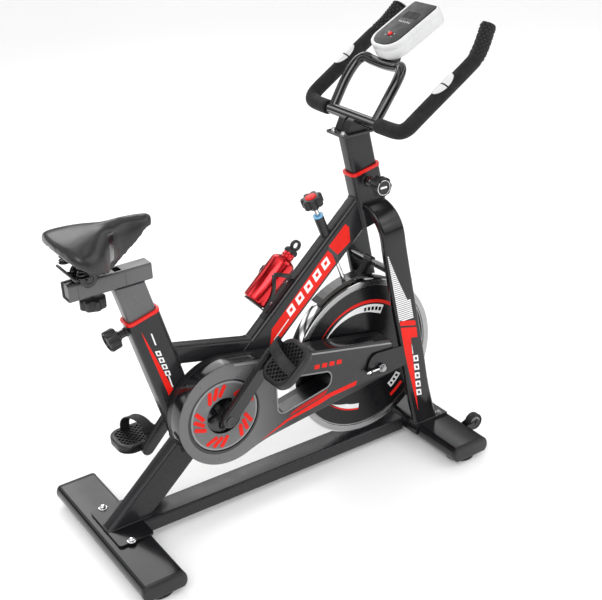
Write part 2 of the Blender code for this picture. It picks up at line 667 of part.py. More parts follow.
def belt_loop(offset):
    """The belt's outline at a distance outside its mid line, wrapped round both pulleys."""
    span = FLYWHEEL - CRANK
    slope = math.degrees(math.atan2(span.z, span.x))
    wrap = math.degrees(math.asin((BELT_RADIUS_CRANK - BELT_RADIUS_FLYWHEEL) / span.length))
    top, bottom = slope + 90 - wrap, slope - 90 + wrap
    big = arc((CRANK.x, CRANK.z), BELT_RADIUS_CRANK + offset, top, bottom + 360, 28)
    small = arc((FLYWHEEL.x, FLYWHEEL.z), BELT_RADIUS_FLYWHEEL + offset, bottom, top, 9)
    return big + small


def make_belt():
    half = BELT_THICKNESS / 2
    low, high = BELT_Y
    rings = []
    for offset, y in ((half, low), (half, high), (-half, high), (-half, low)):
        rings.append([Vector((x, y, z)) for x, z in belt_loop(offset)])
    return piece("drive_belt", loft(rings, closed=True), "rubber")


# ---------------------------------------------------------------- belt cover
def cover_outline():
    """Round behind the crank, with two straight edges that narrow towards the fork."""
    round_part = arc((-0.1735, 0.3085), COVER_RADIUS, 78.8, 292, 22)
    start, control, end = Vector(round_part[-1]), Vector((-0.0826, 0.1986)), Vector((-0.040, 0.2039))
    fillet = []
    for t in (0.25, 0.5, 0.75, 1.0):
        fillet.append(tuple(start * (1 - t) ** 2 + control * 2 * t * (1 - t) + end * t * t))
    corners = [(0.0, 0.2086), (0.3390, 0.2510), (0.3230, 0.3474), (0.0, 0.4112)]
    front = rounded_polygon(corners, [0.001, 0.014, 0.010, 0.001])
    return round_part + fillet + front[5:15]


WINDOW = rounded_polygon(
    [(-0.034, 0.2525), (0.122, 0.2829), (0.130, 0.3212), (-0.034, 0.3545)], [0.018, 0.020, 0.018, 0.018]
)


def make_cover():
    outline = cover_outline()
    face, split, back = COVER_FACE_Y, COVER_SPLIT_Y, COVER_BACK_Y
    steps = ((split, 0), (face + 0.003, 0), (face + 0.001, -0.001), (face, -0.003))
    rings = [[Vector((x, y, z)) for x, z in grown(outline, inset)] for y, inset in steps]
    outer = piece("outer_belt_cover", loft(rings), "cover_plastic")
    inside = grown(outline, -COVER_WALL)
    cut(outer, prism(inside, face + COVER_WALL, split + 0.01))
    join(outer, prism(grown(WINDOW, COVER_WALL), face + 0.001, split))
    cut(
        outer,
        prism(WINDOW, face - 0.01, split + 0.01),
        cylinder(CRANK_DISC_RADIUS + 0.001, CRANK - Y * 0.1, CRANK - Y * 0.070, 36),
        cylinder(0.010, FLYWHEEL - Y * 0.1, FLYWHEEL - Y * 0.070, 16),
    )
    low = split + GAP
    inner = piece("inner_belt_cover", prism(outline, low, back), "cover_plastic")
    cut(inner, prism(inside, split - 0.01, back - COVER_WALL))
    join(inner, prism(grown(WINDOW, COVER_WALL), low, back - 0.001))
    cut(
        inner,
        prism(WINDOW, split - 0.01, back + 0.01),
        cylinder(0.0250, CRANK - Y * 0.06, CRANK - Y * 0.01, 24),
        cylinder(0.0300, FLYWHEEL - Y * 0.06, FLYWHEEL - Y * 0.01, 24),
    )


# ---------------------------------------------------------------- brake and flywheel guard
def arc_plate(inner, outer, start, end, steps, half_width):
    outline = [polar(outer, start + (end - start) * i / steps) for i in range(steps + 1)]
    outline += [polar(inner, end + (start - end) * i / steps) for i in range(steps + 1)]
    return prism(outline, -half_width, half_width)


def make_brake():
    between_blades = BLADE_Y - BLADE_THICKNESS / 2 - GAP
    piece("flywheel_guard", arc_plate(0.2405, 0.2435, 60, 76, 4, between_blades), "frame_paint")
    pivot("brake_rod", BRAKE_BASE, "bike")
    top, tip = BRAKE_BASE - BRAKE_DIR * 0.094, BRAKE_BASE + BRAKE_DIR * 0.1365
    piece("brake_rod", cylinder(0.0058, top, tip, 14), "chrome", "brake_rod")
    pivot("brake_knob", BRAKE_BASE - BRAKE_DIR * 0.1085, "brake_rod")
    knob = PIVOTS["brake_knob"][1]
    sizes = ((-0.0140, 0.62), (-0.012, 0.85), (-0.004, 1.0), (0.008, 1.0), (0.0125, 0.8))
    outline = lobed(0.028, 0.0045, 7, 28)
    up = BRAKE_DIR.cross(Y)
    rings = [[knob - BRAKE_DIR * h + Y * a * s + up * b * s for a, b in outline] for h, s in sizes]
    head = piece("brake_knob", loft(rings), "black_plastic", "brake_knob")
    cut(head, cylinder(0.0061, top + BRAKE_DIR * 0.02, top - BRAKE_DIR * 0.004, 14))

    pivot("brake_arm", BRAKE_PIVOT, "bike")
    arm = piece("brake_arm", arc_plate(0.2338, 0.2368, 84, 125, 9, 0.017), "black_steel", "brake_arm")
    x, z = polar(0.2350, 88)
    link = [(x - 0.006, z - 0.0015), (x + 0.010, z - 0.0015)]
    link += [(BRAKE_PIVOT.x + 0.002, BRAKE_PIVOT.z - 0.010), (BRAKE_PIVOT.x - 0.006, BRAKE_PIVOT.z + 0.006)]
    hub = cylinder(0.0095, BRAKE_PIVOT - Y * 0.014, BRAKE_PIVOT + Y * 0.014, 16)
    join(arm, prism(link, -0.010, 0.010), hub)
    cut(arm, cylinder(0.0053, BRAKE_PIVOT - Y * 0.03, BRAKE_PIVOT + Y * 0.03, 12))
    piece("brake_pad", arc_plate(0.2250, 0.2335, 98, 124.5, 7, 0.015), "felt", "brake_arm")


# ---------------------------------------------------------------- seat
def seat_pin_point(along):
    """A point on the seat pin's axis, measured forward from the knob's middle."""
    return SEAT_PIN - SEAT_BACK * along


def pin_knob(name, centre, out, radius, length, pin_length, lobes, face_radius):
    """A grooved knob on a round pin. out points from the frame to the hand."""
    pivot(name, centre, "bike" if name != "slider_knob" else "seat_post")
    side = Y if abs(out.y) < 0.9 else X
    up = out.cross(side)
    half = length / 2
    outline = lobed(radius, radius * 0.09, lobes, lobes * 4)
    sizes = ((-half, 0.80), (-half + 0.003, 1.0), (half - 0.004, 1.0), (half, face_radius / radius))
    rings = [[centre + out * h + side * a * s + up * b * s for a, b in outline] for h, s in sizes]
    knob = piece(name, loft(rings), "black_plastic", name)
    return join(knob, cylinder(0.0050, centre, centre - out * pin_length, 12))


def make_seat():
    pivot("seat_post", seat_point(0.660), "bike")
    outer = rounded_rectangle(POST_WIDTH, POST_DEPTH, POST_CORNER, 2)
    inner = rounded_rectangle(POST_WIDTH - 2 * WALL, POST_DEPTH - 2 * WALL, POST_CORNER - WALL, 1)
    bottom, top = seat_point(0.395), seat_point(0.6835)
    post = piece("seat_post", rod(outer, [bottom, top], Y, (None, Z)), "frame_paint", "seat_post")
    size, half = SLEEVE_SIZE, SLEEVE_SIZE / 2
    middle = 0.6825 + half
    ends = [Vector((-0.502, 0, middle)), Vector((-0.300, 0, middle))]
    hole = size - 2 * WALL
    join(post, rod(rounded_rectangle(size, size, 0.004, 2), ends))
    cut(
        post,
        rod(inner, [bottom - SEAT_DIR * 0.01, seat_point(0.679)], Y, (None, Z)),
        rod(rounded_rectangle(hole, hole, 0.002, 1), [ends[0] - X * 0.01, ends[1] + X * 0.01]),
        block((-0.512, -0.0115, middle + 0.010), (-0.370, 0.0115, middle + 0.030)),
        cylinder(0.0053, SLIDER_KNOB, SLIDER_KNOB + Z * 0.032, 12),
    )
    for step in (-1, 0, 1, 2):
        at = seat_pin_point(0.065) + SEAT_DIR * 0.035 * -step
        cut(post, cylinder(0.0056, at + SEAT_BACK * 0.03, at - SEAT_BACK * 0.004, 10))

    pivot("seat_slider", Vector((-0.440, 0, middle)), "seat_post")
    bar = hole - 2 * GAP
    slide = [Vector((-0.499, 0, middle)), Vector((-0.385, 0, middle))]
    inner_bar = rod(rounded_rectangle(bar, bar, 0.002, 1), slide)
    slider = piece("seat_slider", inner_bar, "black_steel", "seat_slider")
    low = (SADDLE_PIVOT.x - 0.011, -0.0105, middle + 0.010)
    join(
        slider,
        block(low, (SADDLE_PIVOT.x + 0.011, 0.0105, SADDLE_PIVOT.z)),
        cylinder(0.0125, SADDLE_PIVOT - Y * 0.0105, SADDLE_PIVOT + Y * 0.0105, 18),
    )
    cut(slider, cylinder(0.0050, SADDLE_PIVOT - Y * 0.03, SADDLE_PIVOT + Y * 0.03, 14))

    pin_knob("seat_pin_knob", SEAT_PIN, SEAT_BACK, 0.026, 0.029, 0.0450, 8, 0.019)
    pin_knob("slider_knob", SLIDER_KNOB, -Z, 0.031, 0.026, 0.0234, 8, 0.023)
    make_saddle()


def saddle_half_width(x):
    """Half the saddle's width: narrow nose, wide rounded lobes at the back."""
    t = (x - SADDLE_NOSE) / (SADDLE_REAR - SADDLE_NOSE)
    width = 0.024 + 0.083 / (1 + math.exp(-(t - 0.56) * 13))
    return width * math.sqrt(max(0.0, 1 - ((abs(t - 0.5) * 2) ** 9)))


def saddle_ring(x):
    """Crowned top, hanging sides and a flat underside, at one place along the saddle."""
    t = (x - SADDLE_NOSE) / (SADDLE_REAR - SADDLE_NOSE)
    w = max(saddle_half_width(x), 0.008)
    crown = SADDLE_CROWN + 0.0115 * math.sin(math.pi * t ** 0.9) - 0.003 * t
    skirt = crown - 0.030 - 0.058 * max(0.0, math.sin(math.pi * min(1, max(0, (t - 0.18) / 0.80))))
    under = max(skirt + 0.004, crown - SADDLE_PAD)
    top = []
    for i in range(9):
        a = math.pi * i / 8
        top.append((w * math.cos(a), skirt + (crown - skirt) * math.sin(a) ** 0.55))
    lip = 0.75 * w
    bottom = [(-lip, skirt), (-lip * 0.94, under), (lip * 0.94, under), (lip, skirt)]
    return [Vector((x, y, z)) for y, z in top + bottom]


def make_saddle():
    pivot("saddle", SADDLE_PIVOT, "seat_slider")
    along = (0, 0.03, 0.10, 0.22, 0.34, 0.46, 0.58, 0.70, 0.82, 0.92, 0.975, 1.0)
    stations = [SADDLE_NOSE + (SADDLE_REAR - SADDLE_NOSE) * t for t in along]
    piece("saddle_cover", loft([saddle_ring(x) for x in stations]), "vinyl", "saddle")

    base = piece("saddle_base", slab(saddle_plate(), 0.7890, 0.7945), "black_steel", "saddle")
    wire = circle(0.0035, 8)
    for side in (-1, 1):
        rail = [(-0.492, 0.024, 0.745), (-0.478, 0.024, 0.733), (-0.430, 0.024, 0.733),
                (-0.395, 0.023, 0.745), (-0.352, 0.015, 0.774), (-0.334, 0.011, 0.7915)]
        out = Y * side
        join(
            base,
            rod(wire, [Vector((x, side * y, z)) for x, y, z in rail], Y),
            cylinder(0.0075, SADDLE_PIVOT + out * 0.0110, SADDLE_PIVOT + out * 0.0260, 14),
            cylinder(0.0200, SADDLE_PIVOT + out * 0.0212, SADDLE_PIVOT + out * 0.0300, 18),
        )
    join(
        base,
        cylinder(0.0045, SADDLE_PIVOT - Y * 0.02, SADDLE_PIVOT + Y * 0.02, 12),
        cylinder(0.0035, Vector((-0.492, -0.052, 0.745)), Vector((-0.492, 0.052, 0.745)), 8),
    )
    for hand, side in (("right", -1), ("left", 1)):
        foot = Vector((-0.4750, side * 0.050, 0.7498))
        piece(f"{hand}_saddle_spring", coil(foot), "black_steel", "saddle")


def saddle_plate():
    """The pan under the padding, a little smaller than the saddle."""
    right = []
    for i in range(9):
        x = -0.486 + i * 0.0235
        right.append((x, -0.62 * saddle_half_width(x)))
    return right + [(x, -y) for x, y in reversed(right)]


def coil(base, radius=0.011, wire=0.0022, height=0.0365, turns=3):
    """A short coil spring standing on base."""
    steps = turns * 10
    path = []
    for i in range(steps + 1):
        t = 2 * math.pi * turns * i / steps
        rise = wire + (height - 2 * wire) * i / steps
        path.append(base + Vector((radius * math.cos(t), radius * math.sin(t), rise)))
    rings = []
    for i, point in enumerate(path):
        t = 2 * math.pi * turns * i / steps
        out = Vector((math.cos(t), math.sin(t), 0))
        rings.append(ring_at(circle(wire, 5), point, out, Z))
    return loft(rings)


# ---------------------------------------------------------------- handlebar and monitor
def arm_path(side):
    """The bar's middle line from the crossbar round to one tip."""
    corner = [(0.278, 0.100, 0.937), (0.278, 0.135, 0.937), (0.279, 0.162, 0.9375), (0.2835, 0.180, 0.9400),
              (0.2940, 0.1905, 0.9475), (0.3100, 0.193, 0.9590)]
    straight = [(0.3500, 0.193, 0.9840), (0.4700, 0.193, 1.0580)]
    tip = [(0.4950, 0.1900, 1.0740), (0.5180, 0.1820, 1.0930), (0.5370, 0.1740, 1.1150)]
    tip.append((0.5546, 0.1660, 1.1370))
    return [Vector((x, side * y, z)) for x, y, z in corner + straight + tip]


def carried_rings(outline, path, side):
    """Rings along a bending path, each frame carried on from the last so that the tube doesn't twist."""
    rings, across = [], side
    for i, point in enumerate(path):
        before = (point - path[i - 1]).normalized() if i else Vector()
        after = (path[i + 1] - point).normalized() if i + 1 < len(path) else Vector()
        along = (before + after).normalized()
        across = (across - along * across.dot(along)).normalized()
        rings.append(ring_at(outline, point, across, along.cross(across)))
    return rings


def monitor_bracket():
    """The wedge between the hoop and the monitor's sloping underside, as (x, z) points."""
    under = MONITOR_CENTRE - MONITOR_OUT * (MONITOR_DEPTH + GAP)
    front, back = under - MONITOR_ALONG * 0.036, under - MONITOR_ALONG * 0.068
    return [(0.366, 1.0440), (0.406, 1.0440), (front.x, front.z), (back.x, back.z)]


def make_handlebar():
    pivot("handlebar", head_point(0.860), "bike")
    outer = rounded_rectangle(POST_WIDTH, POST_DEPTH, POST_CORNER, 2)
    inner = rounded_rectangle(POST_WIDTH - 2 * WALL, POST_DEPTH - 2 * WALL, POST_CORNER - WALL, 1)
    bottom, top = head_point(0.690), head_point(0.9020)
    post = piece("handlebar_post", rod(outer, [bottom, top], Y, (None, Z)), "frame_paint", "handlebar")
    plate = rounded_rectangle(0.092, 0.076, 0.006, 2)
    join(post, slab([(x + 0.268, y) for x, y in plate], 0.9000, 0.9060))
    cut(post, rod(inner, [bottom - HEAD_DIR * 0.01, head_point(0.898)], Y, (None, Z)))
    for step in (-1, 0, 1):
        at = HEAD_PIN + HEAD_DIR * 0.035 * step
        cut(post, cylinder(0.0056, at - Y * 0.03, at - Y * 0.010, 10))

    path = [p for p in reversed(arm_path(1))] + arm_path(-1)
    section, bore = circle(BAR_RADIUS, 10), circle(BAR_RADIUS - WALL, 10)
    rings = carried_rings(section, path, Z) + carried_rings(bore, path, Z)[::-1]
    bar = piece("handlebar", loft(rings, closed=True), "black_steel", "handlebar")
    hoop = [(0.278, 0.085, 0.937), (0.320, 0.085, 0.998), (0.344, 0.084, 1.026), (0.360, 0.078, 1.0415),
            (0.370, 0.066, 1.0470), (0.376, 0.046, 1.0440), (0.378, 0.0, 1.0435)]
    right = [Vector((x, -y, z)) for x, y, z in hoop]
    left = [Vector((x, y, z)) for x, y, z in reversed(hoop[:-1])]
    corners = [(0.242, 0.9063), (0.316, 0.9063), (0.300, 0.9480), (0.256, 0.9480)]
    clamp = rounded_polygon(corners, [0.002, 0.002, 0.010, 0.010], 2)
    join(
        bar,
        loft(carried_rings(section, right + left, X)),
        prism(clamp, -0.0280, 0.0280),
        prism(monitor_bracket(), -0.020, 0.020),
    )
    for hand, side in (("right", -1), ("left", 1)):
        grip(f"{hand}_grip", side)
    pin_knob("head_pin_knob", HEAD_PIN - Y * 0.081, -Y, 0.026, 0.030, 0.0605, 8, 0.021)
    make_monitor()


def grip(name, side):
    """The foam sleeve over one arm of the bar, from the crossbar to the tip."""
    path = arm_path(side)
    outside = carried_rings(circle(GRIP_RADIUS, 10), path, Z)
    inside = carried_rings(circle(BAR_RADIUS + 2 * GAP, 10), path, Z)
    return piece(name, loft(outside + inside[::-1], closed=True), "foam", "handlebar")


def monitor_ring(outline, depth):
    """An outline on the monitor's face, moved depth into the housing."""
    return ring_at(outline, MONITOR_CENTRE - MONITOR_OUT * depth, MONITOR_ALONG, Y)


def make_monitor():
    face = rounded_rectangle(MONITOR_LENGTH, MONITOR_WIDTH, 0.026, 4)
    steps = ((MONITOR_DEPTH, -0.006), (MONITOR_DEPTH - 0.004, -0.002), (0.014, 0), (0.003, 0), (0, -0.003))
    rings = [monitor_ring(grown(face, inset), depth) for depth, inset in steps]
    housing = piece("monitor_housing", loft(rings), "white_plastic", "handlebar")
    window = grown(face, -0.009)
    cut(housing, loft([monitor_ring(window, depth) for depth in (0.003, -0.01)]))
    button = MONITOR_BUTTON - MONITOR_OUT * (MONITOR_BUTTON - MONITOR_CENTRE).dot(MONITOR_OUT)
    low, high = button - MONITOR_OUT * 0.010, button + MONITOR_OUT * 0.010
    cut(housing, cylinder(0.0066, low, high, 14))
    lens = grown(face, -0.009 - GAP)
    rings = [monitor_ring(lens, depth) for depth in (0.003 - GAP, 0.0006)]
    cover = piece("monitor_lens", loft(rings), "lens", "handlebar")
    cut(cover, cylinder(0.0066, low, high, 14))
    pivot("monitor_button", button, "handlebar")
    stem = cylinder(0.0060, button - MONITOR_OUT * 0.0070, button + MONITOR_OUT * 0.0022, 16)
    piece("monitor_button", stem, "red_plastic", "monitor_button")


# ---------------------------------------------------------------- bottle and cage
def make_bottle():
    base = main_point(BOTTLE_LOW, BOTTLE_ABOVE)
    length = BOTTLE_TOP - BOTTLE_LOW
    pivot("bottle", base, "bike")
    profile = [
        (BOTTLE_RADIUS - 0.004, 0), (BOTTLE_RADIUS, 0.004), (BOTTLE_RADIUS, length - 0.014),
        (BOTTLE_RADIUS - 0.004, length - 0.004), (0.020, length + 0.004), (0.0150, length + 0.007),
        (0.0150, length + 0.018),
    ]
    piece("bottle", turned(profile, base, MAIN_DIR, 22), "red_aluminium", "bottle")
    cap_base = base + MAIN_DIR * (length + 0.018 + GAP)
    pivot("bottle_cap", cap_base, "bottle")
    lid = turned([(0.0165, 0), (0.0165, 0.009), (0.012, 0.014)], cap_base, MAIN_DIR, 20)
    cap = piece("bottle_cap", lid, "black_plastic", "bottle_cap")
    eye = cap_base + MAIN_DIR * 0.024
    join(cap, washer(0.0075, 0.0145, eye, Y, -0.005, 0.005, 18))

    s, level = BOTTLE_LOW, MAIN_DEPTH / 2 + 0.0020
    strip = [main_point(s - 0.012, level), main_point(s + 0.100, level)]
    cage = piece("bottle_cage", rod(rounded_rectangle(0.022, 0.003, 0.001, 1), strip), "black_steel")
    band_at = main_point(s + 0.062, BOTTLE_ABOVE)
    shelf_at = main_point(s - 0.0045, BOTTLE_ABOVE)
    join(
        cage,
        washer(BOTTLE_RADIUS + 0.0008, BOTTLE_RADIUS + 0.0034, band_at, MAIN_DIR, -0.007, 0.007, 22),
        turned([(0.026, 0), (0.026, 0.0038)], shelf_at, MAIN_DIR, 20),
        rod(
            rounded_rectangle(0.014, 0.0170, 0.001, 1),
            [main_point(s + 0.052, 0.0495), main_point(s + 0.072, 0.0495)],
        ),
        rod(
            rounded_rectangle(0.016, 0.032, 0.001, 1),
            [main_point(s - 0.0045, 0.0567), main_point(s - 0.0007, 0.0567)],
        ),
    )


def make_all():
    pivot("bike", Vector())
    make_base()
    make_frame()
    collar("seat_collar", seat_point, SEAT_TUBE_TOP)
    collar("head_collar", head_point, HEAD_TUBE_TOP)
    make_flywheel()
    make_axle()
    make_crank()
    make_belt()
    make_cover()
    make_brake()
    make_seat()
    make_handlebar()
    make_bottle()
    PIVOTS["bike"][0].location = (BIKE_SHIFT, 0, 0)


make_all()
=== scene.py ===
"""Looks for the indoor spin bike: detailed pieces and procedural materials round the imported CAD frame.

Sizes are in metres in the bike's own frame, whose x = 0 is midway between the floor tubes. SHIFT moves that
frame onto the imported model. +X points from the saddle to the handlebar and +Y to the rider's left.
"""

import math

import bmesh
import bpy
from mathutils import Matrix, Vector


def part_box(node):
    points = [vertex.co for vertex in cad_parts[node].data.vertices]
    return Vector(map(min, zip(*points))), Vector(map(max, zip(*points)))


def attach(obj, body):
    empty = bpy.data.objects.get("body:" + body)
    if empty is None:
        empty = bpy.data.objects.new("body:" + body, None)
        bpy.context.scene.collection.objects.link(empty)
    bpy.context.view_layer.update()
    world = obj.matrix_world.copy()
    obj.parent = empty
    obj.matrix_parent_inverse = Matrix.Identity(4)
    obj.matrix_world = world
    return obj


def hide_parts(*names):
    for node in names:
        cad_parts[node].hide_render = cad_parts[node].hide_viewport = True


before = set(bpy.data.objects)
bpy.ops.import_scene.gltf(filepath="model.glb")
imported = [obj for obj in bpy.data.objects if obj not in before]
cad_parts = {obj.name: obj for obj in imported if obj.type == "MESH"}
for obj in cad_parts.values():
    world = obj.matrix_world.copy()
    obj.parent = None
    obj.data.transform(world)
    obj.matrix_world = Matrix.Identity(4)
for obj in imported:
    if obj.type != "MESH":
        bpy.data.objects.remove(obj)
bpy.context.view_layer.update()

SCENE = bpy.context.scene

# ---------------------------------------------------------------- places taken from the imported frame
X, Y, Z = Vector((1, 0, 0)), Vector((0, 1, 0)), Vector((0, 0, 1))
FLYWHEEL, CRANK = Vector((0.28, 0, 0.2843)), Vector((-0.184, 0, 0.3085))
WHEEL_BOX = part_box("flywheel")
SHIFT = Vector(((WHEEL_BOX[0].x + WHEEL_BOX[1].x) / 2 - FLYWHEEL.x, 0, 0))

SEAT_LEAN, HEAD_LEAN = math.radians(14.5), math.radians(11.6)
SEAT_DIR = Vector((-math.sin(SEAT_LEAN), 0, math.cos(SEAT_LEAN)))
SEAT_BACK = Vector((-math.cos(SEAT_LEAN), 0, -math.sin(SEAT_LEAN)))
HEAD_DIR = Vector((-math.sin(HEAD_LEAN), 0, math.cos(HEAD_LEAN)))
SEAT_TUBE_TOP, HEAD_TUBE_TOP = 0.592, 0.798
MAIN_FOOT, MAIN_HEAD = Vector((-0.4333, 0, 0.06)), Vector((0.3, 0, 0.705))
MAIN_DIR = (MAIN_HEAD - MAIN_FOOT).normalized()
MAIN_UP = MAIN_DIR.cross(Y)
HALF_WHEELBASE, PLATE_TOP, HALF_TALL_TUBE = 0.4587, 0.0633, 0.042
BRAKE_DIR = Vector((0.342, 0, -0.94)).normalized()
BRAKE_BASE, BRAKE_PIVOT = Vector((0.187, 0, 0.648)), Vector((0.318, 0, 0.55))
SADDLE_PIVOT = Vector((-0.455, 0, 0.7305))
SADDLE_REAR, SADDLE_NOSE, SADDLE_CROWN = -0.52, -0.28, 0.832
SEAT_PIN, HEAD_PIN = Vector((-0.409, 0, 0.555)), Vector((0.296, 0, 0.776))
SLIDER_KNOB = Vector((-0.442, 0, 0.661))
CRANK_LENGTH, CRANK_ANGLE = 0.188, math.radians(46)
CRANK_DIR = Vector((math.cos(CRANK_ANGLE), 0, math.sin(CRANK_ANGLE)))
MONITOR_SLOPE = math.radians(26.5)
MONITOR_ALONG = Vector((math.cos(MONITOR_SLOPE), 0, math.sin(MONITOR_SLOPE)))
MONITOR_OUT = Vector((-math.sin(MONITOR_SLOPE), 0, math.cos(MONITOR_SLOPE)))
MONITOR_CENTRE = Vector((0.4295, 0, 1.1339))
MONITOR_LENGTH, MONITOR_WIDTH, MONITOR_DEPTH = 0.172, 0.106, 0.043
BAR_RADIUS, GRIP_RADIUS = 0.0125, 0.018
BOTTLE_LOW, BOTTLE_LENGTH, BOTTLE_ABOVE, BOTTLE_RADIUS = 0.615, 0.128, 0.0923, 0.032
SIDES = (("right", -1), ("left", 1))


def seat_point(z):
    return Vector((-0.3225 - (z - 0.55) * math.tan(SEAT_LEAN), 0, z))


def head_point(z):
    return Vector((0.3026 - (z - 0.78) * math.tan(HEAD_LEAN), 0, z))


def main_point(along, above, y=0.0):
    return MAIN_FOOT + MAIN_DIR * along + MAIN_UP * above + Y * y


# ---------------------------------------------------------------- materials
LOOKS = {}


class Nodes:
    """A short way to build a material's node tree on object coordinates."""

    def __init__(self, name):
        self.made = bpy.data.materials.new(name)
        self.made.use_nodes = True
        self.tree = self.made.node_tree
        self.shader = self.tree.nodes["Principled BSDF"]
        self.place = self.add("ShaderNodeTexCoord").outputs["Object"]

    def add(self, kind, **settings):
        node = self.tree.nodes.new(kind)
        for key, value in settings.items():
            setattr(node, key, value)
        return node

    def feed(self, socket, value):
        if isinstance(value, bpy.types.NodeSocket):
            self.tree.links.new(value, socket)
        else:
            socket.default_value = value

    def stretched(self, scale):
        node = self.add("ShaderNodeMapping")
        self.feed(node.inputs["Vector"], self.place)
        node.inputs["Scale"].default_value = scale
        return node.outputs[0]

    def noise(self, scale, detail=3.0, place=None):
        node = self.add("ShaderNodeTexNoise")
        self.feed(node.inputs["Vector"], place or self.place)
        node.inputs["Scale"].default_value = scale
        node.inputs["Detail"].default_value = detail
        return node.outputs[0]

    def cells(self, scale):
        node = self.add("ShaderNodeTexVoronoi", feature="SMOOTH_F1")
        self.feed(node.inputs["Vector"], self.place)
        node.inputs["Scale"].default_value = scale
        return node.outputs[0]

    def spread(self, value, low, high, start=0.3, end=0.7):
        node = self.add("ShaderNodeMapRange")
        for socket, number in zip(node.inputs, (value, start, end, low, high)):
            self.feed(socket, number)
        return node.outputs[0]

    def maths(self, operation, *values):
        node = self.add("ShaderNodeMath", operation=operation)
        for socket, value in zip(node.inputs, values):
            self.feed(socket, value)
        return node.outputs[0]

    def mix(self, factor, first, second):
        node = self.add("ShaderNodeMix", data_type="RGBA")
        self.feed(node.inputs[0], factor)
        self.feed(node.inputs[6], first)
        self.feed(node.inputs[7], second)
        return node.outputs[2]

    def edges(self, radius):
        """1 on worn outer edges, 0 on flat faces."""
        bevel, geometry = self.add("ShaderNodeBevel", samples=4), self.add("ShaderNodeNewGeometry")
        bevel.inputs["Radius"].default_value = radius
        dot = self.add("ShaderNodeVectorMath", operation="DOT_PRODUCT")
        self.feed(dot.inputs[0], bevel.outputs[0])
        self.feed(dot.inputs[1], geometry.outputs["Normal"])
        return self.spread(dot.outputs["Value"], 1.0, 0.0, 0.8, 0.97)

    def bump(self, height, strength, distance):
        node = self.add("ShaderNodeBump")
        node.inputs["Strength"].default_value = strength
        node.inputs["Distance"].default_value = distance
        self.feed(node.inputs["Height"], height)
        self.feed(self.shader.inputs["Normal"], node.outputs[0])


def shade(colour, factor):
    return (*(min(1.0, c * factor) for c in colour), 1.0)


def look(name, slot, colour, roughness, metallic=0.0, mottle=0.12, patch=18.0, grain=900.0, depth=0.0001,
         strength=0.25, wear=0.0, coat=0.0, pattern="noise", sheen=0.0, specular=0.5):
    """A finish with patchy colour and roughness, a fine surface grain and optional worn edges."""
    n = Nodes(name)
    patches, fine = n.noise(patch, 5.0), n.noise(grain, 2.0)
    colours = n.mix(n.spread(patches, 0, 1), shade(colour, 1 - mottle), shade(colour, 1 + mottle))
    if pattern == "cells":
        fine = n.maths("ADD", n.cells(grain), n.maths("MULTIPLY", n.noise(grain * 0.2, 3.0), 0.6))
        colours = n.mix(n.spread(fine, 0.18, 0, 0.2, 0.9), colours, shade(colour, 1.6))
    if pattern == "brushed":
        fine = n.noise(grain, 2.0, n.stretched((1.0, 0.03, 1.0)))
    if wear:
        worn = n.maths("MULTIPLY", n.edges(0.0016), n.spread(n.noise(60, 4.0), 0.2, 1.0))
        colours = n.mix(n.maths("MULTIPLY", worn, wear), colours, shade(colour, 4.0))
    n.feed(n.shader.inputs["Base Color"], colours)
    n.feed(n.shader.inputs["Roughness"], n.spread(n.noise(patch * 3, 4.0), roughness * 0.82, roughness * 1.2))
    n.shader.inputs["Metallic"].default_value = metallic
    n.shader.inputs["Coat Weight"].default_value = coat
    n.shader.inputs["Coat Roughness"].default_value = 0.12
    n.shader.inputs["Sheen Weight"].default_value = sheen
    n.shader.inputs["Specular IOR Level"].default_value = specular
    n.bump(fine, strength, depth)
    LOOKS[name] = (n.made, slot)
    return n


def cover_look():
    """The belt cover's plastic: mid grey at the crank, darkening towards the fork, black on its side wall."""
    n = look("cover_face", "cover_plastic", (0.11, 0.11, 0.113), 0.32, coat=0.3, depth=0.00001)
    split = n.add("ShaderNodeSeparateXYZ")
    n.feed(split.inputs[0], n.place)
    forward = n.spread(split.outputs["X"], 0, 1, -0.11 + SHIFT.x, 0.01 + SHIFT.x)
    n.feed(n.shader.inputs["Base Color"], n.mix(forward, (0.11, 0.11, 0.113, 1), (0.005, 0.005, 0.006, 1)))


def bottle_look():
    """Red anodised aluminium with a faint drawn grain along the bottle."""
    n = look("red_anodised", "red_aluminium", (0.66, 0.006, 0.012), 0.2, metallic=0.9, mottle=0.05,
             depth=0.00003)
    n.shader.inputs["Coat Weight"].default_value = 0.6


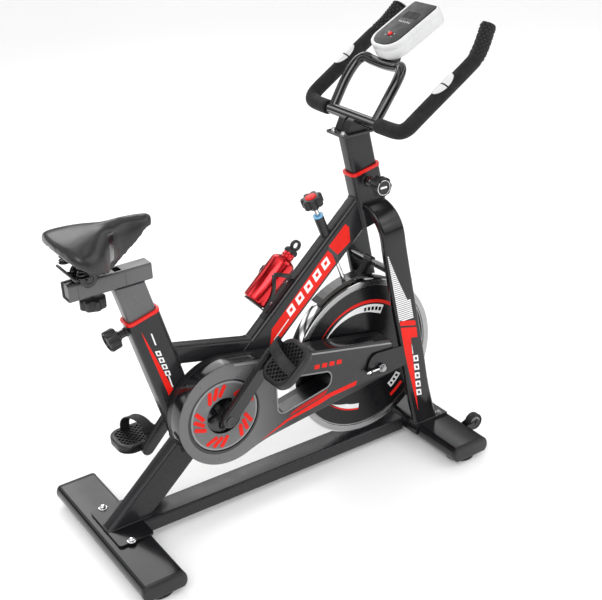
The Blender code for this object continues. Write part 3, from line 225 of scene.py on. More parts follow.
def make_looks():
    look("paint", "frame_paint", (0.013, 0.013, 0.0145), 0.27, metallic=0.05, patch=6, depth=0.00002,
         coat=0.15, specular=0.35)
    look("post_paint", "frame_paint", (0.1, 0.1, 0.103), 0.33, metallic=0.35, patch=6, depth=0.00002,
         coat=0.25)
    look("dark_paint", "frame_paint", (0.006, 0.006, 0.007), 0.2, metallic=0.0, patch=6, depth=0.00002,
         coat=0.3, specular=0.3)
    look("weld", "frame_paint", (0.022, 0.022, 0.024), 0.34, metallic=0.2, grain=260, depth=0.0006,
         strength=0.6)
    look("black_steel", "black_steel", (0.008, 0.008, 0.009), 0.24, metallic=0.1, depth=0.00004, wear=0.15,
         coat=0.4)
    look("black_plastic", "black_plastic", (0.009, 0.009, 0.01), 0.36, depth=0.0001, strength=0.3, wear=0.1)
    look("gloss_black", "black_plastic", (0.005, 0.005, 0.006), 0.14, depth=0.00002, coat=0.5, wear=0.05)
    look("face_black", "black_plastic", (0.006, 0.006, 0.007), 0.22, depth=0.00002, specular=0.35, wear=0.05)
    look("grey_plastic", "cover_plastic", (0.12, 0.12, 0.123), 0.34, depth=0.00001, coat=0.2)
    # Grey trim, also used for the painted highlight along the belt cover's top edge.
    look("trim_grey", "cover_plastic", (0.24, 0.24, 0.245), 0.35, depth=0.00004, wear=0.1)
    look("red_trim", "red_plastic", (0.68, 0.012, 0.008), 0.34, depth=0.00004, wear=0.1, specular=0.35)
    look("red_print", "red_plastic", (0.7, 0.012, 0.006), 0.42, mottle=0.08, depth=0.00002, specular=0.2)
    look("dark_red_print", "red_plastic", (0.44, 0.008, 0.005), 0.42, mottle=0.08, depth=0.00002,
         specular=0.2)
    look("white_print", "white_plastic", (0.8, 0.8, 0.8), 0.42, mottle=0.06, depth=0.00002)
    look("grey_print", "white_plastic", (0.33, 0.33, 0.335), 0.42, mottle=0.06, depth=0.00002)
    look("white_plastic", "white_plastic", (0.62, 0.62, 0.625), 0.3, mottle=0.04, depth=0.00003, coat=0.25)
    look("blue_ring", "white_plastic", (0.16, 0.42, 0.68), 0.34, mottle=0.08, depth=0.00004)
    look("panel", "lens", (0.009, 0.009, 0.01), 0.42, mottle=0.1, depth=0.00002, specular=0.3)
    look("display", "lens", (0.004, 0.005, 0.004), 0.5, mottle=0.2, depth=0.00002, specular=0.2)
    look("rubber", "rubber", (0.009, 0.009, 0.0095), 0.62, grain=1500, depth=0.0002, strength=0.4, wear=0.15)
    look("foam", "foam", (0.01, 0.01, 0.0105), 0.85, grain=1600, depth=0.00045, strength=0.6, sheen=0.06,
         specular=0.3)
    look("vinyl", "vinyl", (0.011, 0.011, 0.0115), 0.36, patch=9, grain=1100, depth=0.00015, strength=0.4,
         coat=0.15, pattern="cells")
    look("patent", "vinyl", (0.016, 0.01, 0.011), 0.12, grain=300, depth=0.0001, coat=0.9)
    look("chrome", "chrome", (0.8, 0.8, 0.81), 0.06, metallic=1.0, mottle=0.03, depth=0.00001, wear=0.0)
    look("wheel_steel", "chrome", (0.36, 0.36, 0.365), 0.22, metallic=1.0, mottle=0.06, depth=0.00003,
         pattern="brushed")
    look("steel", "steel", (0.38, 0.38, 0.39), 0.28, metallic=1.0, pattern="brushed", depth=0.00003)
    look("felt", "felt", (0.03, 0.026, 0.022), 0.95, grain=1300, depth=0.0006, strength=0.8, sheen=0.2)
    cover_look()
    bottle_look()


# ---------------------------------------------------------------- outlines, as (a, b) points
def arc(centre, radius, start, end, steps):
    angles = [math.radians(start + (end - start) * i / steps) for i in range(steps + 1)]
    return [(centre[0] + radius * math.cos(t), centre[1] + radius * math.sin(t)) for t in angles]


def circle(radius, steps):
    return arc((0, 0), radius, 0, 360, steps)[:-1]


def rounded_rectangle(width, height, radius, steps=6):
    points = []
    for turn, (a, b) in enumerate(((1, 1), (-1, 1), (-1, -1), (1, -1))):
        centre = (a * (width / 2 - radius), b * (height / 2 - radius))
        points += arc(centre, radius, 90 * turn, 90 * turn + 90, steps)
    return points


def rounded_polygon(corners, radii, steps=8):
    points = []
    for i, corner in enumerate(corners):
        here = Vector(corner)
        before, after = Vector(corners[i - 1]) - here, Vector(corners[(i + 1) % len(corners)]) - here
        half = before.angle(after) / 2
        reach = radii[i] / math.tan(half)
        bisector = (before.normalized() + after.normalized()).normalized()
        centre = here + bisector * (radii[i] / math.sin(half))
        first = here + before.normalized() * reach - centre
        turn = first.angle_signed(here + after.normalized() * reach - centre)
        for k in range(steps + 1):
            spoke = first.copy()
            spoke.rotate(Matrix.Rotation(-turn * k / steps, 2))
            points.append(tuple(centre + spoke))
    return points


def grown(points, distance):
    moved = []
    for i, point in enumerate(points):
        back = Vector(point) - Vector(points[i - 1])
        ahead = Vector(points[(i + 1) % len(points)]) - Vector(point)
        normals = [Vector((e.y, -e.x)).normalized() for e in (back, ahead)]
        middle = (normals[0] + normals[1]).normalized()
        moved.append(tuple(Vector(point) + middle * (distance / middle.dot(normals[0]))))
    return moved


def flat_oval(shrink=0.0, steps=16):
    """The floor tube's section about its own middle."""
    points = []
    edge, half_height = 0.0125 - shrink * 0.5, 0.0205 - shrink
    for side, start in ((1, -90), (-1, 90)):
        for i in range(steps + 1):
            t = math.radians(start + 180 * i / steps)
            points.append((side * (0.057 - shrink - edge) + edge * math.cos(t), half_height * math.sin(t)))
    return points


def lobed(radius, depth, lobes, steps):
    angles = [2 * math.pi * i / steps for i in range(steps)]
    sizes = [radius - depth * (0.5 - 0.5 * math.cos(lobes * t)) ** 2 for t in angles]
    return [(r * math.cos(t), r * math.sin(t)) for r, t in zip(sizes, angles)]


# ---------------------------------------------------------------- solids, as bmeshes
def loft(rings, closed=False, marks=None):
    """Joins equal rings in order. marks gives each band of faces its material index."""
    bm = bmesh.new()
    loops = [[bm.verts.new(point) for point in ring] for ring in rings]
    pairs = list(zip(loops, loops[1:])) + ([(loops[-1], loops[0])] if closed else [])
    for band, (low, high) in enumerate(pairs):
        for i in range(len(low)):
            face = bm.faces.new((low[i - 1], low[i], high[i], high[i - 1]))
            face.material_index = marks[band] if marks else 0
    if not closed:
        for band, loop in ((0, loops[0]), (-1, loops[-1])):
            face = bm.faces.new(loop)
            face.material_index = marks[band] if marks else 0
    bmesh.ops.recalc_face_normals(bm, faces=bm.faces)
    return bm


def ring_at(outline, at, side, up):
    return [at + side * a + up * b for a, b in outline]


def prism(outline, low, high):
    return loft([[Vector((x, y, z)) for x, z in outline] for y in (low, high)])


def slab(outline, low, high):
    return loft([[Vector((x, y, z)) for x, y in outline] for z in (low, high)])


def block(low, high):
    corners = [(low[0], low[1]), (high[0], low[1]), (high[0], high[1]), (low[0], high[1])]
    return slab(corners, low[2], high[2])


def tube_rings(outline, path, side, ends=(None, None)):
    rings = []
    for i, point in enumerate(path):
        before = (point - path[i - 1]).normalized() if i else Vector()
        after = (path[i + 1] - point).normalized() if i + 1 < len(path) else Vector()
        along = (before + after).normalized()
        across = (side - along * side.dot(along)).normalized()
        ring = ring_at(outline, point, across, along.cross(across))
        plane = ends[0] if i == 0 else ends[1] if i + 1 == len(path) else None
        if plane:
            ring = [p - along * ((p - point).dot(plane) / along.dot(plane)) for p in ring]
        rings.append(ring)
    return rings


def rod(outline, path, side=Y, ends=(None, None)):
    return loft(tube_rings(outline, path, side, ends))


def pipe(outer, inner, path, side=Y, ends=(None, None)):
    outside, inside = tube_rings(outer, path, side, ends), tube_rings(inner, path, side, ends)
    return loft(outside + inside[::-1], closed=True)


def cylinder(radius, start, end, steps=32):
    along = (end - start).normalized()
    return rod(circle(radius, steps), [start, end], Y if abs(along.y) < 0.9 else X)


def turned(profile, base, axis, steps=64, closed=False, marks=None):
    side = (Y if abs(axis.y) < 0.9 else X).copy()
    up = axis.cross(side)
    rings = [ring_at(circle(r, steps), base + axis * h, side, up) for r, h in profile]
    return loft(rings, closed, marks)


def carried_rings(outline, path, side, closed=False):
    """Rings along a bending path, each frame carried on from the last so that the tube doesn't twist."""
    rings, across = [], side
    count = len(path)
    for i, point in enumerate(path):
        last = path[i - 1] if i or closed else point
        following = path[(i + 1) % count] if i + 1 < count or closed else point
        along = ((point - last).normalized() + (following - point).normalized()).normalized()
        across = (across - along * across.dot(along)).normalized()
        rings.append(ring_at(outline, point, across, along.cross(across)))
    return rings


def wire(path, radius, side=Z, steps=10, closed=False):
    return loft(carried_rings(circle(radius, steps), path, side, closed), closed)


def curve(points, steps=6):
    """A smooth path through the points."""
    path = []
    for i in range(len(points) - 1):
        p0, p1, p2, p3 = (points[max(0, min(len(points) - 1, i + k))] for k in (-1, 0, 1, 2))
        for k in range(steps):
            t = k / steps
            path.append(0.5 * (2 * p1 + (p2 - p0) * t + (2 * p0 - 5 * p1 + 4 * p2 - p3) * t ** 2
                               + (3 * p1 - p0 - 3 * p2 + p3) * t ** 3))
    return path + [points[-1]]


def merged(parts):
    whole = bmesh.new()
    for part in parts:
        scratch = bpy.data.meshes.new("scratch")
        part.to_mesh(scratch)
        part.free()
        whole.from_mesh(scratch)
        bpy.data.meshes.remove(scratch)
    return whole


def carved(solid, tools, operation="DIFFERENCE"):
    """The solid with each tool cut away or joined on."""
    def hold(bm):
        mesh = bpy.data.meshes.new("scratch")
        bm.to_mesh(mesh)
        bm.free()
        made = bpy.data.objects.new("scratch", mesh)
        SCENE.collection.objects.link(made)
        return made

    target, others = hold(solid), [hold(tool) for tool in tools]
    for other in others:
        modifier = target.modifiers.new("cut", "BOOLEAN")
        modifier.operation, modifier.object, modifier.solver = operation, other, "EXACT"
    bpy.context.view_layer.update()
    result = bmesh.new()
    result.from_mesh(target.evaluated_get(bpy.context.evaluated_depsgraph_get()).to_mesh())
    for scrap in [target] + others:
        mesh = scrap.data
        bpy.data.objects.remove(scrap)
        bpy.data.meshes.remove(mesh)
    return result


def place(name, mesh, looks, body, replaces=()):
    looks = looks if isinstance(looks, (list, tuple)) else [looks]
    for each in looks:
        mesh.materials.append(LOOKS[each][0])
    piece = bpy.data.objects.new(name, mesh)
    SCENE.collection.objects.link(piece)
    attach(piece, body)
    if replaces:
        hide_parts(*replaces)
    return piece


def add(name, parts, looks, body="bike", replaces=(), bevel=0.0, angle=35, segments=2):
    """A piece from one or more solids in the bike's frame, riding with a body."""
    whole = merged(parts if isinstance(parts, list) else [parts])
    bmesh.ops.translate(whole, vec=SHIFT, verts=whole.verts)
    mesh = bpy.data.meshes.new(name)
    whole.to_mesh(mesh)
    whole.free()
    mesh.shade_smooth()
    if not bevel:
        mesh.set_sharp_from_angle(angle=math.radians(angle))
    piece = place(name, mesh, looks, body, replaces)
    if bevel:
        modifier = piece.modifiers.new("edges", "BEVEL")
        modifier.width, modifier.segments = bevel, segments
        modifier.limit_method, modifier.angle_limit = "ANGLE", math.radians(angle)
        modifier.harden_normals = True
    return piece


def polar(radius, degrees, centre=FLYWHEEL):
    t = math.radians(degrees)
    return centre.x + radius * math.cos(t), centre.z + radius * math.sin(t)


def face_film(outline, face, side, lift=0.0003):
    """A thin film on a face that looks along side * Y: printed marks, and on the belt cover also painted
    shadow and painted highlight.
    """
    low, high = sorted((face, face + side * lift))
    return prism(outline, low, high)


def swept(inner, outer, start, end, steps=24, tail=0.0):
    """A band between two radii on the flywheel's face. tail narrows its first end to a point."""
    outline = []
    for i in range(steps + 1):
        share = i / steps
        outline.append(polar(outer, start + (end - start) * share))
    for i in range(steps, -1, -1):
        share = i / steps
        width = (outer - inner) * (min(1.0, share / tail) if tail else 1.0)
        outline.append(polar(outer - max(width, 0.0004), start + (end - start) * share))
    return outline


# ---------------------------------------------------------------- base
def build_base():
    tubes = (("rear", -HALF_WHEELBASE), ("front", HALF_WHEELBASE))
    for end, x in tubes:
        middle = Vector((x, 0, 0.0365))
        path = [middle - Y * 0.24, middle + Y * 0.24]
        tube = [loft([ring_at(flat_oval(), p, X, Z) for p in path])]
        if end == "front":
            for side in (-1, 1):
                tube += wheel_bracket(side)
        add(f"{end}_stabiliser_tube", tube, "dark_paint", "bike", (f"{end}_stabiliser",), 0.0008)
        for hand, side in SIDES:
            steps = ((0.2402, 0.0012), (0.241, 0.0), (0.2475, 0.0), (0.25, 0.0012), (0.2514, 0.0032),
                     (0.2519, 0.0058))
            rings = [ring_at(flat_oval(inset), middle + Y * side * y, X, Z) for y, inset in steps]
            add(f"{end}_{hand}_end_cap", loft(rings), "black_plastic", "bike", (f"{end}_{hand}_cap",))
            build_foot(end, hand, Vector((x, side * 0.2033, 0)))
    for hand, side in SIDES:
        bolt = Vector((-0.459, side * 0.081, PLATE_TOP + 0.0003))
        washer = turned([(0.0115, 0), (0.0115, 0.0012), (0.0108, 0.0016), (0.008, 0.0016)], bolt, Z, 40)
        dome = [(0.0086, 0.0016), (0.0086, 0.004), (0.0078, 0.0062), (0.006, 0.008), (0.0034, 0.0089),
                (0.0008, 0.0092)]
        add(f"rear_{hand}_dome_bolt", [washer, turned(dome, bolt, Z, 40)], "chrome", "bike",
            (f"rear_{hand}_bolt",))
    for hand, side in SIDES:
        build_transport_wheel(hand, side)
    foot = [Vector((0.447, side * 0.083, PLATE_TOP)) for side in (-1, 1)]
    heads = []
    for at in foot:
        heads.append(cylinder(0.0065, at + X * 0.038, at + X * 0.038 + Z * 0.0045, 6))
        heads.append(turned([(0.0088, 0), (0.0088, 0.0012), (0.006, 0.0014)], at + X * 0.038, Z, 32))
    add("front_plate_bolts", heads, "steel", "bike", bevel=0.0004)


def build_foot(end, hand, at):
    profile = [(0.0352, 0.0), (0.0376, 0.0012), (0.038, 0.0034), (0.0366, 0.006), (0.033, 0.0078),
               (0.03, 0.0086), (0.021, 0.0092), (0.02, 0.012), (0.014, 0.0128), (0.013, 0.0155)]
    foot = [turned(profile, at, Z, 72)]
    for i in range(24):
        t = 2 * math.pi * i / 24
        out = Vector((math.cos(t), math.sin(t), 0))
        foot.append(cylinder(0.0011, at + out * 0.0362 + Z * 0.0012, at + out * 0.0352 + Z * 0.0064, 6))
    add(f"{end}_{hand}_foot_pad", foot, "rubber", f"{end}_{hand}_foot", (f"{end}_{hand}_foot",))


def wheel_bracket(side):
    at = Vector((0.5405, side * 0.165, 0.055))
    front = HALF_WHEELBASE + 0.057
    outline = [(front - 0.012, 0.026)] + arc((at.x, at.z), 0.011, -60, 90, 16) + [(front - 0.012, 0.053)]
    cheeks = [prism(outline, at.y + off - 0.0015, at.y + off + 0.0015) for off in (-0.0125, 0.0125)]
    return cheeks + [cylinder(0.004, at - Y * 0.015, at + Y * 0.015, 24),
                     cylinder(0.0062, at + Y * 0.014, at + Y * 0.0162, 6),
                     cylinder(0.0062, at - Y * 0.0162, at - Y * 0.014, 6)]


def build_transport_wheel(hand, side):
    at = Vector((0.5405, side * 0.165, 0.055))
    tread = [(0.0205, -0.01), (0.0225, -0.0092), (0.0234, -0.0068), (0.0235, 0.0068), (0.0225, 0.0092),
             (0.0205, 0.01), (0.0195, 0.008), (0.015, 0.0078), (0.015, -0.0078), (0.0195, -0.008)]
    hub = [(0.0149, -0.0088), (0.0149, 0.0088), (0.011, 0.0096), (0.0043, 0.0096), (0.0043, -0.0096),
           (0.011, -0.0096)]
    add(f"{hand}_wheel_tread", turned(tread, at, Y, 64, closed=True), "rubber", f"{hand}_transport_wheel",
        (f"{hand}_transport_wheel",))
    add(f"{hand}_wheel_hub", turned(hub, at, Y, 48, closed=True), "trim_grey", f"{hand}_transport_wheel")


# ---------------------------------------------------------------- welded frame
def blade_path(side):
    points = ((0.317, 0.016, 0.7075), (0.3185, 0.034, 0.705), (0.3215, 0.052, 0.6945), (0.325, 0.067, 0.678),
              (0.3285, 0.0775, 0.656), (0.3315, 0.082, 0.63), (0.3355, 0.083, 0.594), (0.3575, 0.083, 0.467),
              (0.388, 0.083, 0.3), (0.409, 0.083, 0.169), (0.4355, 0.083, 0.058))
    return curve([Vector((x, side * y, z)) for x, y, z in points], 5)


def meet(point, direction, plane_point, normal):
    """Where a line through point crosses a plane."""
    return point + direction * ((plane_point - point).dot(normal) / direction.dot(normal))


def build_frame():
    main, upper = rounded_rectangle(0.04, 0.08, 0.01), rounded_rectangle(0.038, 0.046, 0.008)
    tall = rounded_rectangle(0.05, 0.084, 0.012)
    beam = rounded_rectangle(0.068, 0.038, 0.006)
    beam_ends = [Vector((-HALF_WHEELBASE + 0.0573, 0, 0.0449)), Vector((HALF_WHEELBASE - 0.06, 0, 0.0344))]
    upper_ends = [Vector((-0.272, 0, 0.4731)), Vector((-0.03, 0, 0.415))]
    tubes = [
        rod(main, [MAIN_FOOT, MAIN_HEAD], Y, (Z, None)),
        rod(tall, [seat_point(0.236), seat_point(SEAT_TUBE_TOP)], Y, (MAIN_UP, None)),
        rod(upper, upper_ends), rod(tall, [head_point(0.657), head_point(HEAD_TUBE_TOP)]),
        rod(beam, beam_ends, Y, (X, X)), cylinder(0.0225, CRANK - Y * 0.0335, CRANK + Y * 0.0335, 64),
    ]
    add("frame_tubes", tubes, "paint", "bike", ("main_frame",), 0.0008)
    blade = rounded_rectangle(0.07, 0.02, 0.007, 6)
    add("fork_blades", [rod(blade, blade_path(side), X, (None, Z)) for side in (-1, 1)], "dark_paint", "bike",
        bevel=0.0006)

    rear = HALF_WHEELBASE - 0.057
    outer = [(0.506, PLATE_TOP)] + arc((rear + 0.0165, 0.041), 0.0223, 90, 180, 14) + [(rear - 0.0058, 0.03)]
    inner = [(rear - 0.0003, 0.03)] + arc((rear + 0.0125, 0.0365), 0.0128, 180, 90, 8)[1:] + [(0.506, 0.0573)]
    inner = [(x, min(z, 0.0573)) for x, z in inner]
    plate = [(x - 0.446, y) for x, y in rounded_rectangle(0.092, 0.17, 0.008)]
    plates = [slab(plate, PLATE_TOP - 0.006, PLATE_TOP), prism(outer + inner, -0.096, 0.096)]
    for side in (-1, 1):
        outline = arc((0.273, 0.296), 0.032, 100, 250, 24) + [(0.325, 0.258), (0.366, 0.262), (0.356, 0.322)]
        plates.append(prism(outline, side * 0.088, side * 0.0925))
        low, high = sorted((side * 0.09, side * 0.104))
        plates.append(block((0.242, low, 0.275), (0.246, high, 0.294)))
    add("frame_plates", plates, "dark_paint", "bike", bevel=0.0009)

    beads = []
    seat_face = seat_point(0.45) - SEAT_BACK * HALF_TALL_TUBE
    along = (upper_ends[1] - upper_ends[0]).normalized()
    first = meet(upper_ends[0], along, seat_face, SEAT_BACK)
    top_face = MAIN_FOOT + MAIN_UP * 0.04
    last = meet(upper_ends[0], along, top_face, MAIN_UP)
    ends = tube_rings(upper, [first, last], Y, (SEAT_BACK, MAIN_UP))
    beads += [(ring, 0.0019) for ring in ends]
    low = meet(seat_point(0.3), SEAT_DIR, top_face, MAIN_UP)
    beads.append((tube_rings(tall, [low, seat_point(0.5)], Y, (MAIN_UP, None))[0], 0.0022))
    foot = meet(MAIN_FOOT, MAIN_DIR, Z * PLATE_TOP, Z)
    beads.append((tube_rings(main, [foot, MAIN_HEAD], Y, (Z, None))[0], 0.0022))
    head_face = head_point(0.7) - HEAD_DIR.cross(Y) * -HALF_TALL_TUBE
    joint = meet(MAIN_FOOT, MAIN_DIR, head_face, HEAD_DIR.cross(Y))
    beads.append((tube_rings(main, [MAIN_FOOT, joint], Y, (None, HEAD_DIR.cross(Y)))[1], 0.002))
    for side in (-1, 1):
        path = blade_path(side)
        base = meet(path[-2], (path[-1] - path[-2]).normalized(), Z * PLATE_TOP, Z)
        beads.append((tube_rings(blade, [path[-4], base], X, (None, Z))[1], 0.0016))
    add("weld_beads", [wire(ring, radius, closed=True, side=side_of(ring)) for ring, radius in beads], "weld")

    start = BRAKE_BASE - BRAKE_DIR * 0.062
    add("brake_guide", pipe(circle(0.0125, 48), circle(0.0064, 48), [start, BRAKE_BASE], Y), "black_plastic")
    add("brake_guide_ring", pipe(circle(0.0131, 48), circle(0.0066, 48), [start - BRAKE_DIR * 0.005, start],
                                 Y),
        "blue_ring", bevel=0.0008)
    add("brake_pivot_pin", cylinder(0.005, BRAKE_PIVOT - Y * 0.078, BRAKE_PIVOT + Y * 0.078, 32), "steel")
    build_frame_decals()


def side_of(ring):
    """A direction square to a closed loop's first edge."""
    edge = (ring[1] - ring[0]).normalized()
    normal = Vector((0, 0, 0))
    for i, point in enumerate(ring):
        normal += point.cross(ring[(i + 1) % len(ring)])
    return edge.cross(normal.normalized()).normalized()


def build_frame_decals():
    red, white, dark = [], [], []
    for side in (-1, 1):
        face = side * 0.02
        a, b = 0.558, 0.872
        low, high = -0.029, 0.0225
        panel = [(a - 0.02, low), (b - 0.055, low), (b - 0.055 + 0.01, -0.004),
                 (b - 0.055 + 0.01, high - 0.006), (a + 0.03, high - 0.012)]
        tip = [(b - 0.036, low + 0.012), (b + 0.01, low + 0.004), (b + 0.034, 0.006), (b + 0.034, high),
               (b - 0.036, high)]
        for outline in (panel, tip):
            red.append(face_film([main_xz(s, n) for s, n in outline], face, side))
        dark.append(face_film([main_xz(s, n)
                           for s, n in ((b - 0.045, low), (b - 0.036, low + 0.01), (b - 0.036, high),
                                        (b - 0.045, high - 0.004))], face, side))
        for k in range(5):
            s = 0.64 + k * 0.036
            bar = [main_xz(s, -0.014), main_xz(s + 0.024, -0.014), main_xz(s + 0.03, 0.009),
                   main_xz(s + 0.006, 0.009)]
            notch = [main_xz(s + 0.01, -0.0065), main_xz(s + 0.019, -0.0065), main_xz(s + 0.022, 0.0025),
                     main_xz(s + 0.012, 0.0025)]
            white.append(face_film(bar, face, side, 0.0005))
            red.append(face_film(notch, face, side, 0.0008))
        white.append(face_film([main_xz(0.57, -0.0175), main_xz(0.634, -0.0155), main_xz(0.634, -0.0125),
                            main_xz(0.571, -0.0145)], face, side, 0.0005))

        face = side * 0.025
        red.append(face_film([(-0.347, 0.566), (-0.338, 0.53), (-0.296, 0.379), (-0.283, 0.392)], face, side))
        white.append(face_film([(-0.324, 0.553), (-0.3205, 0.552), (-0.313, 0.52), (-0.3165, 0.5205)], face,
                           side))
        white.append(face_film([(-0.2925, 0.43), (-0.289, 0.429), (-0.282, 0.3975), (-0.2855, 0.398)], face,
                           side))
        for k in range(4):
            z = 0.505 - k * 0.0195
            x = -0.3185 - (z - 0.505) * 0.3
            white.append(face_film([(x, z), (x + 0.013, z - 0.0025), (x + 0.0165, z - 0.0165),
                                (x + 0.0035, z - 0.014)], face, side))
            dark.append(face_film([(x + 0.0045, z - 0.0045), (x + 0.01, z - 0.0055), (x + 0.0115, z - 0.0125),
                               (x + 0.006, z - 0.0115)], face, side, 0.0006))
    add("tube_red_print", red, "red_print")
    add("tube_white_print", white, "white_print")
    add("tube_dark_print", dark, "gloss_black")
    build_blade_decals()


def main_xz(along, above):
    p = main_point(along, above)
    return p.x, p.z


def build_blade_decals():
    red, white, grey = [], [], []
    for side in (-1, 1):
        face = side * 0.093
        for k in range(34):
            z = 0.59 - k * 0.0058
            share = k / 33
            left = 0.306 + (0.59 - z) * 0.183
            width = 0.0035 + 0.05 * share ** 1.15 if share < 0.7 else 0.047
            white.append(face_film([(left, z), (left + width, z - 0.0008), (left + width + 0.0008, z - 0.0046),
                                (left + 0.0008, z - 0.0038)], face, side))
        red.append(face_film([(0.3425, 0.3985), (0.394, 0.384), (0.3965, 0.369), (0.345, 0.383)], face, side))
        red.append(face_film([(0.3465, 0.377), (0.398, 0.363), (0.4025, 0.332), (0.38, 0.337), (0.4045, 0.105),
                          (0.361, 0.29)], face, side))
        white.append(face_film([(0.38, 0.318), (0.383, 0.317), (0.388, 0.286), (0.385, 0.2865)], face, side))
        for k in range(5):
            z = 0.281 - k * 0.027
            x = 0.387 + (0.281 - z) * 0.098
            white.append(face_film([(x, z), (x + 0.0165, z - 0.0035), (x + 0.019, z - 0.0225),
                                (x + 0.0025, z - 0.019)], face, side))
            grey.append(face_film([(x + 0.0055, z - 0.0065), (x + 0.0125, z - 0.008), (x + 0.014, z - 0.0165),
                               (x + 0.007, z - 0.015)], face, side, 0.0006))
    add("blade_red_print", red, "red_print")
    add("blade_white_print", white, "white_print")
    add("blade_dark_print", grey, "gloss_black")


# ---------------------------------------------------------------- flywheel
def build_flywheel():
    w = 0.022
    half = [(0.2165, w), (0.215, w), (0.204, w - 0.0006), (0.202, w - 0.0012), (0.2012, w - 0.004),
            (0.199, w - 0.0044),
            (0.056, w - 0.0044), (0.054, w - 0.0036), (0.033, w - 0.0036), (0.029, 0.023), (0.027, 0.0285),
            (0.0174, 0.029)]
    marks_half = [1, 1, 1, 1, 1, 2, 2, 2, 2, 2, 2]
    rim = [(0.22, -w + 0.0034), (0.22, w - 0.0034), (0.2192, w - 0.0012)]
    profile = rim + half + [(r, -h) for r, h in reversed(half)] + [(0.2192, -w + 0.0012)]
    marks = [0, 0, 0] + marks_half + [2] + marks_half[::-1] + [0, 0]
    wheel = turned(profile, FLYWHEEL, Y, 180, closed=True, marks=marks)
    add("flywheel_wheel", wheel, ["chrome", "wheel_steel", "face_black"], "flywheel", ("flywheel",), angle=25)
    red, white, grey = [], [], []
    for side in (-1, 1):
        face = side * (w - 0.0044)
        red.append(face_film(swept(0.151, 0.16, 150, 40, 40, 0.5), face, side))
        white.append(face_film(swept(0.1225, 0.147, 150, 62, 40, 0.9), face, side))
        for k in range(5):
            start = 88 - k * 5.2
            grey.append(face_film(swept(0.13, 0.14, start, start - 3.4, 4), face, side, 0.0006))
        white.append(face_film(swept(0.14, 0.153, 226, 262, 20, 0.5), face, side))
        red.append(face_film(swept(0.1535, 0.158, 222, 262, 20, 0.4), face, side, 0.0004))
        white.append(face_film(swept(0.137, 0.156, 305, 322, 8), face, side))
        for k in range(3):
            grey.append(face_film(swept(0.142, 0.151, 307 + k * 5, 309.6 + k * 5, 3), face, side, 0.0006))
        red.append(face_film(swept(0.17, 0.18, 300, 316, 8), face, side))
    add("flywheel_red_print", red, "red_print", "flywheel")
    add("flywheel_white_print", white, "white_print", "flywheel")
    add("flywheel_dark_print", grey, "gloss_black", "flywheel")
    for hand, side in SIDES:
        at = FLYWHEEL + Y * side * 0.099
        ring = pipe(circle(0.0105, 40), circle(0.0063, 40), [at - Y * 0.0019, at + Y * 0.0019], X)
        shank = cylinder(0.003, at - X * 0.009, at - X * 0.05, 20)
        threads = [cylinder(0.0034, at - X * (0.02 + 0.0016 * k), at - X * (0.0207 + 0.0016 * k), 20)
                   for k in range(17)]
        lock = cylinder(0.0056, at - X * 0.0385, at - X * 0.0435, 6)
        add(f"{hand}_tension_eye_bolt", [ring, shank, lock] + threads, "chrome", "bike",
            (f"{hand}_tension_bolt",), 0.0004)
    axle = [cylinder(0.006, FLYWHEEL - Y * 0.109, FLYWHEEL + Y * 0.109, 32)]
    for side in (-1, 1):
        nut = FLYWHEEL + Y * side * 0.1012
        axle.append(cylinder(0.0094, nut, nut + Y * side * 0.0055, 6))
        axle.append(cylinder(0.0098, nut - Y * side * 0.0008, nut + Y * side * 0.0006, 40))
    add("axle_and_nuts", axle, "steel", "bike", ("flywheel_axle",), 0.0005)


# ---------------------------------------------------------------- crank, disc and pedals
def build_crank():
    disc = [(0.0088, -0.0768), (0.045, -0.0768), (0.0468, -0.08), (0.0475, -0.084), (0.0485, -0.0847),
            (0.0862, -0.0847), (0.0868, -0.0852), (0.0905, -0.0852), (0.0916, -0.0847), (0.0922, -0.0838),
            (0.0922, -0.0825), (0.05, -0.0825), (0.0468, -0.0743), (0.0088, -0.0743)]
    marks = [1, 1, 1, 0, 0, 0, 2, 2, 0, 0, 0, 1, 1, 1]
    add("crank_cover_disc", turned(disc, CRANK, Y, 128, closed=True, marks=marks),
        ["grey_plastic", "gloss_black", "trim_grey"], "crank", ("crank_disc",), angle=28)
    slots, edges = [], []
    outline = rounded_rectangle(0.034, 0.0104, 0.0034, 5)
    for group in range(5):
        for k in (-1, 0, 1):
            t = math.radians(34 + group * 72 + k * 15)
            lean = t - math.radians(34)
            centre = CRANK + Vector((math.cos(t), 0, math.sin(t))) * 0.0695
            along = Vector((math.cos(lean), 0, math.sin(lean)))
            across = Vector((-math.sin(lean), 0, math.cos(lean)))
            for bucket, grow, reach in ((edges, 0.0008, 0.0004), (slots, 0.0, 0.0009)):
                rings = [ring_at(grown(outline, grow), centre + Y * y, along, across)
                         for y in (-0.0846, -0.0846 - reach)]
                bucket.append(loft(rings))
    add("crank_disc_slots", slots, "red_print", "crank")
    add("crank_disc_slot_edges", edges, "grey_plastic", "crank")
    spider = []
    for k in range(5):
        t = math.radians(46 + 72 * k)
        out, across = Vector((math.cos(t), 0, math.sin(t))), Vector((-math.sin(t), 0, math.cos(t)))
        tip = CRANK + out * 0.033
        outline = [(-0.011, 0.0), (-0.0068, 0.03)] + arc((0, 0.033), 0.0068, 180, 0, 10) + [(0.0068, 0.03),
            (0.011, 0.0)]
        rings = [ring_at(outline, CRANK + Y * y, across, out) for y in (-0.0835, -0.0775)]
        spider.append(loft(rings))
        spider.append(turned([(0.0034, -0.0875), (0.0042, -0.0865), (0.0042, -0.0835)], tip, Y, 24))
    spider.append(cylinder(0.0175, CRANK - Y * 0.0905, CRANK - Y * 0.0775, 48))
    add("crank_spider", spider, "black_plastic", "crank", bevel=0.0007)
    build_crank_arm("right_crank", -1, -0.098, -0.115, CRANK_DIR)
    build_crank_arm("left_crank", 1, 0.088, 0.105, -CRANK_DIR)


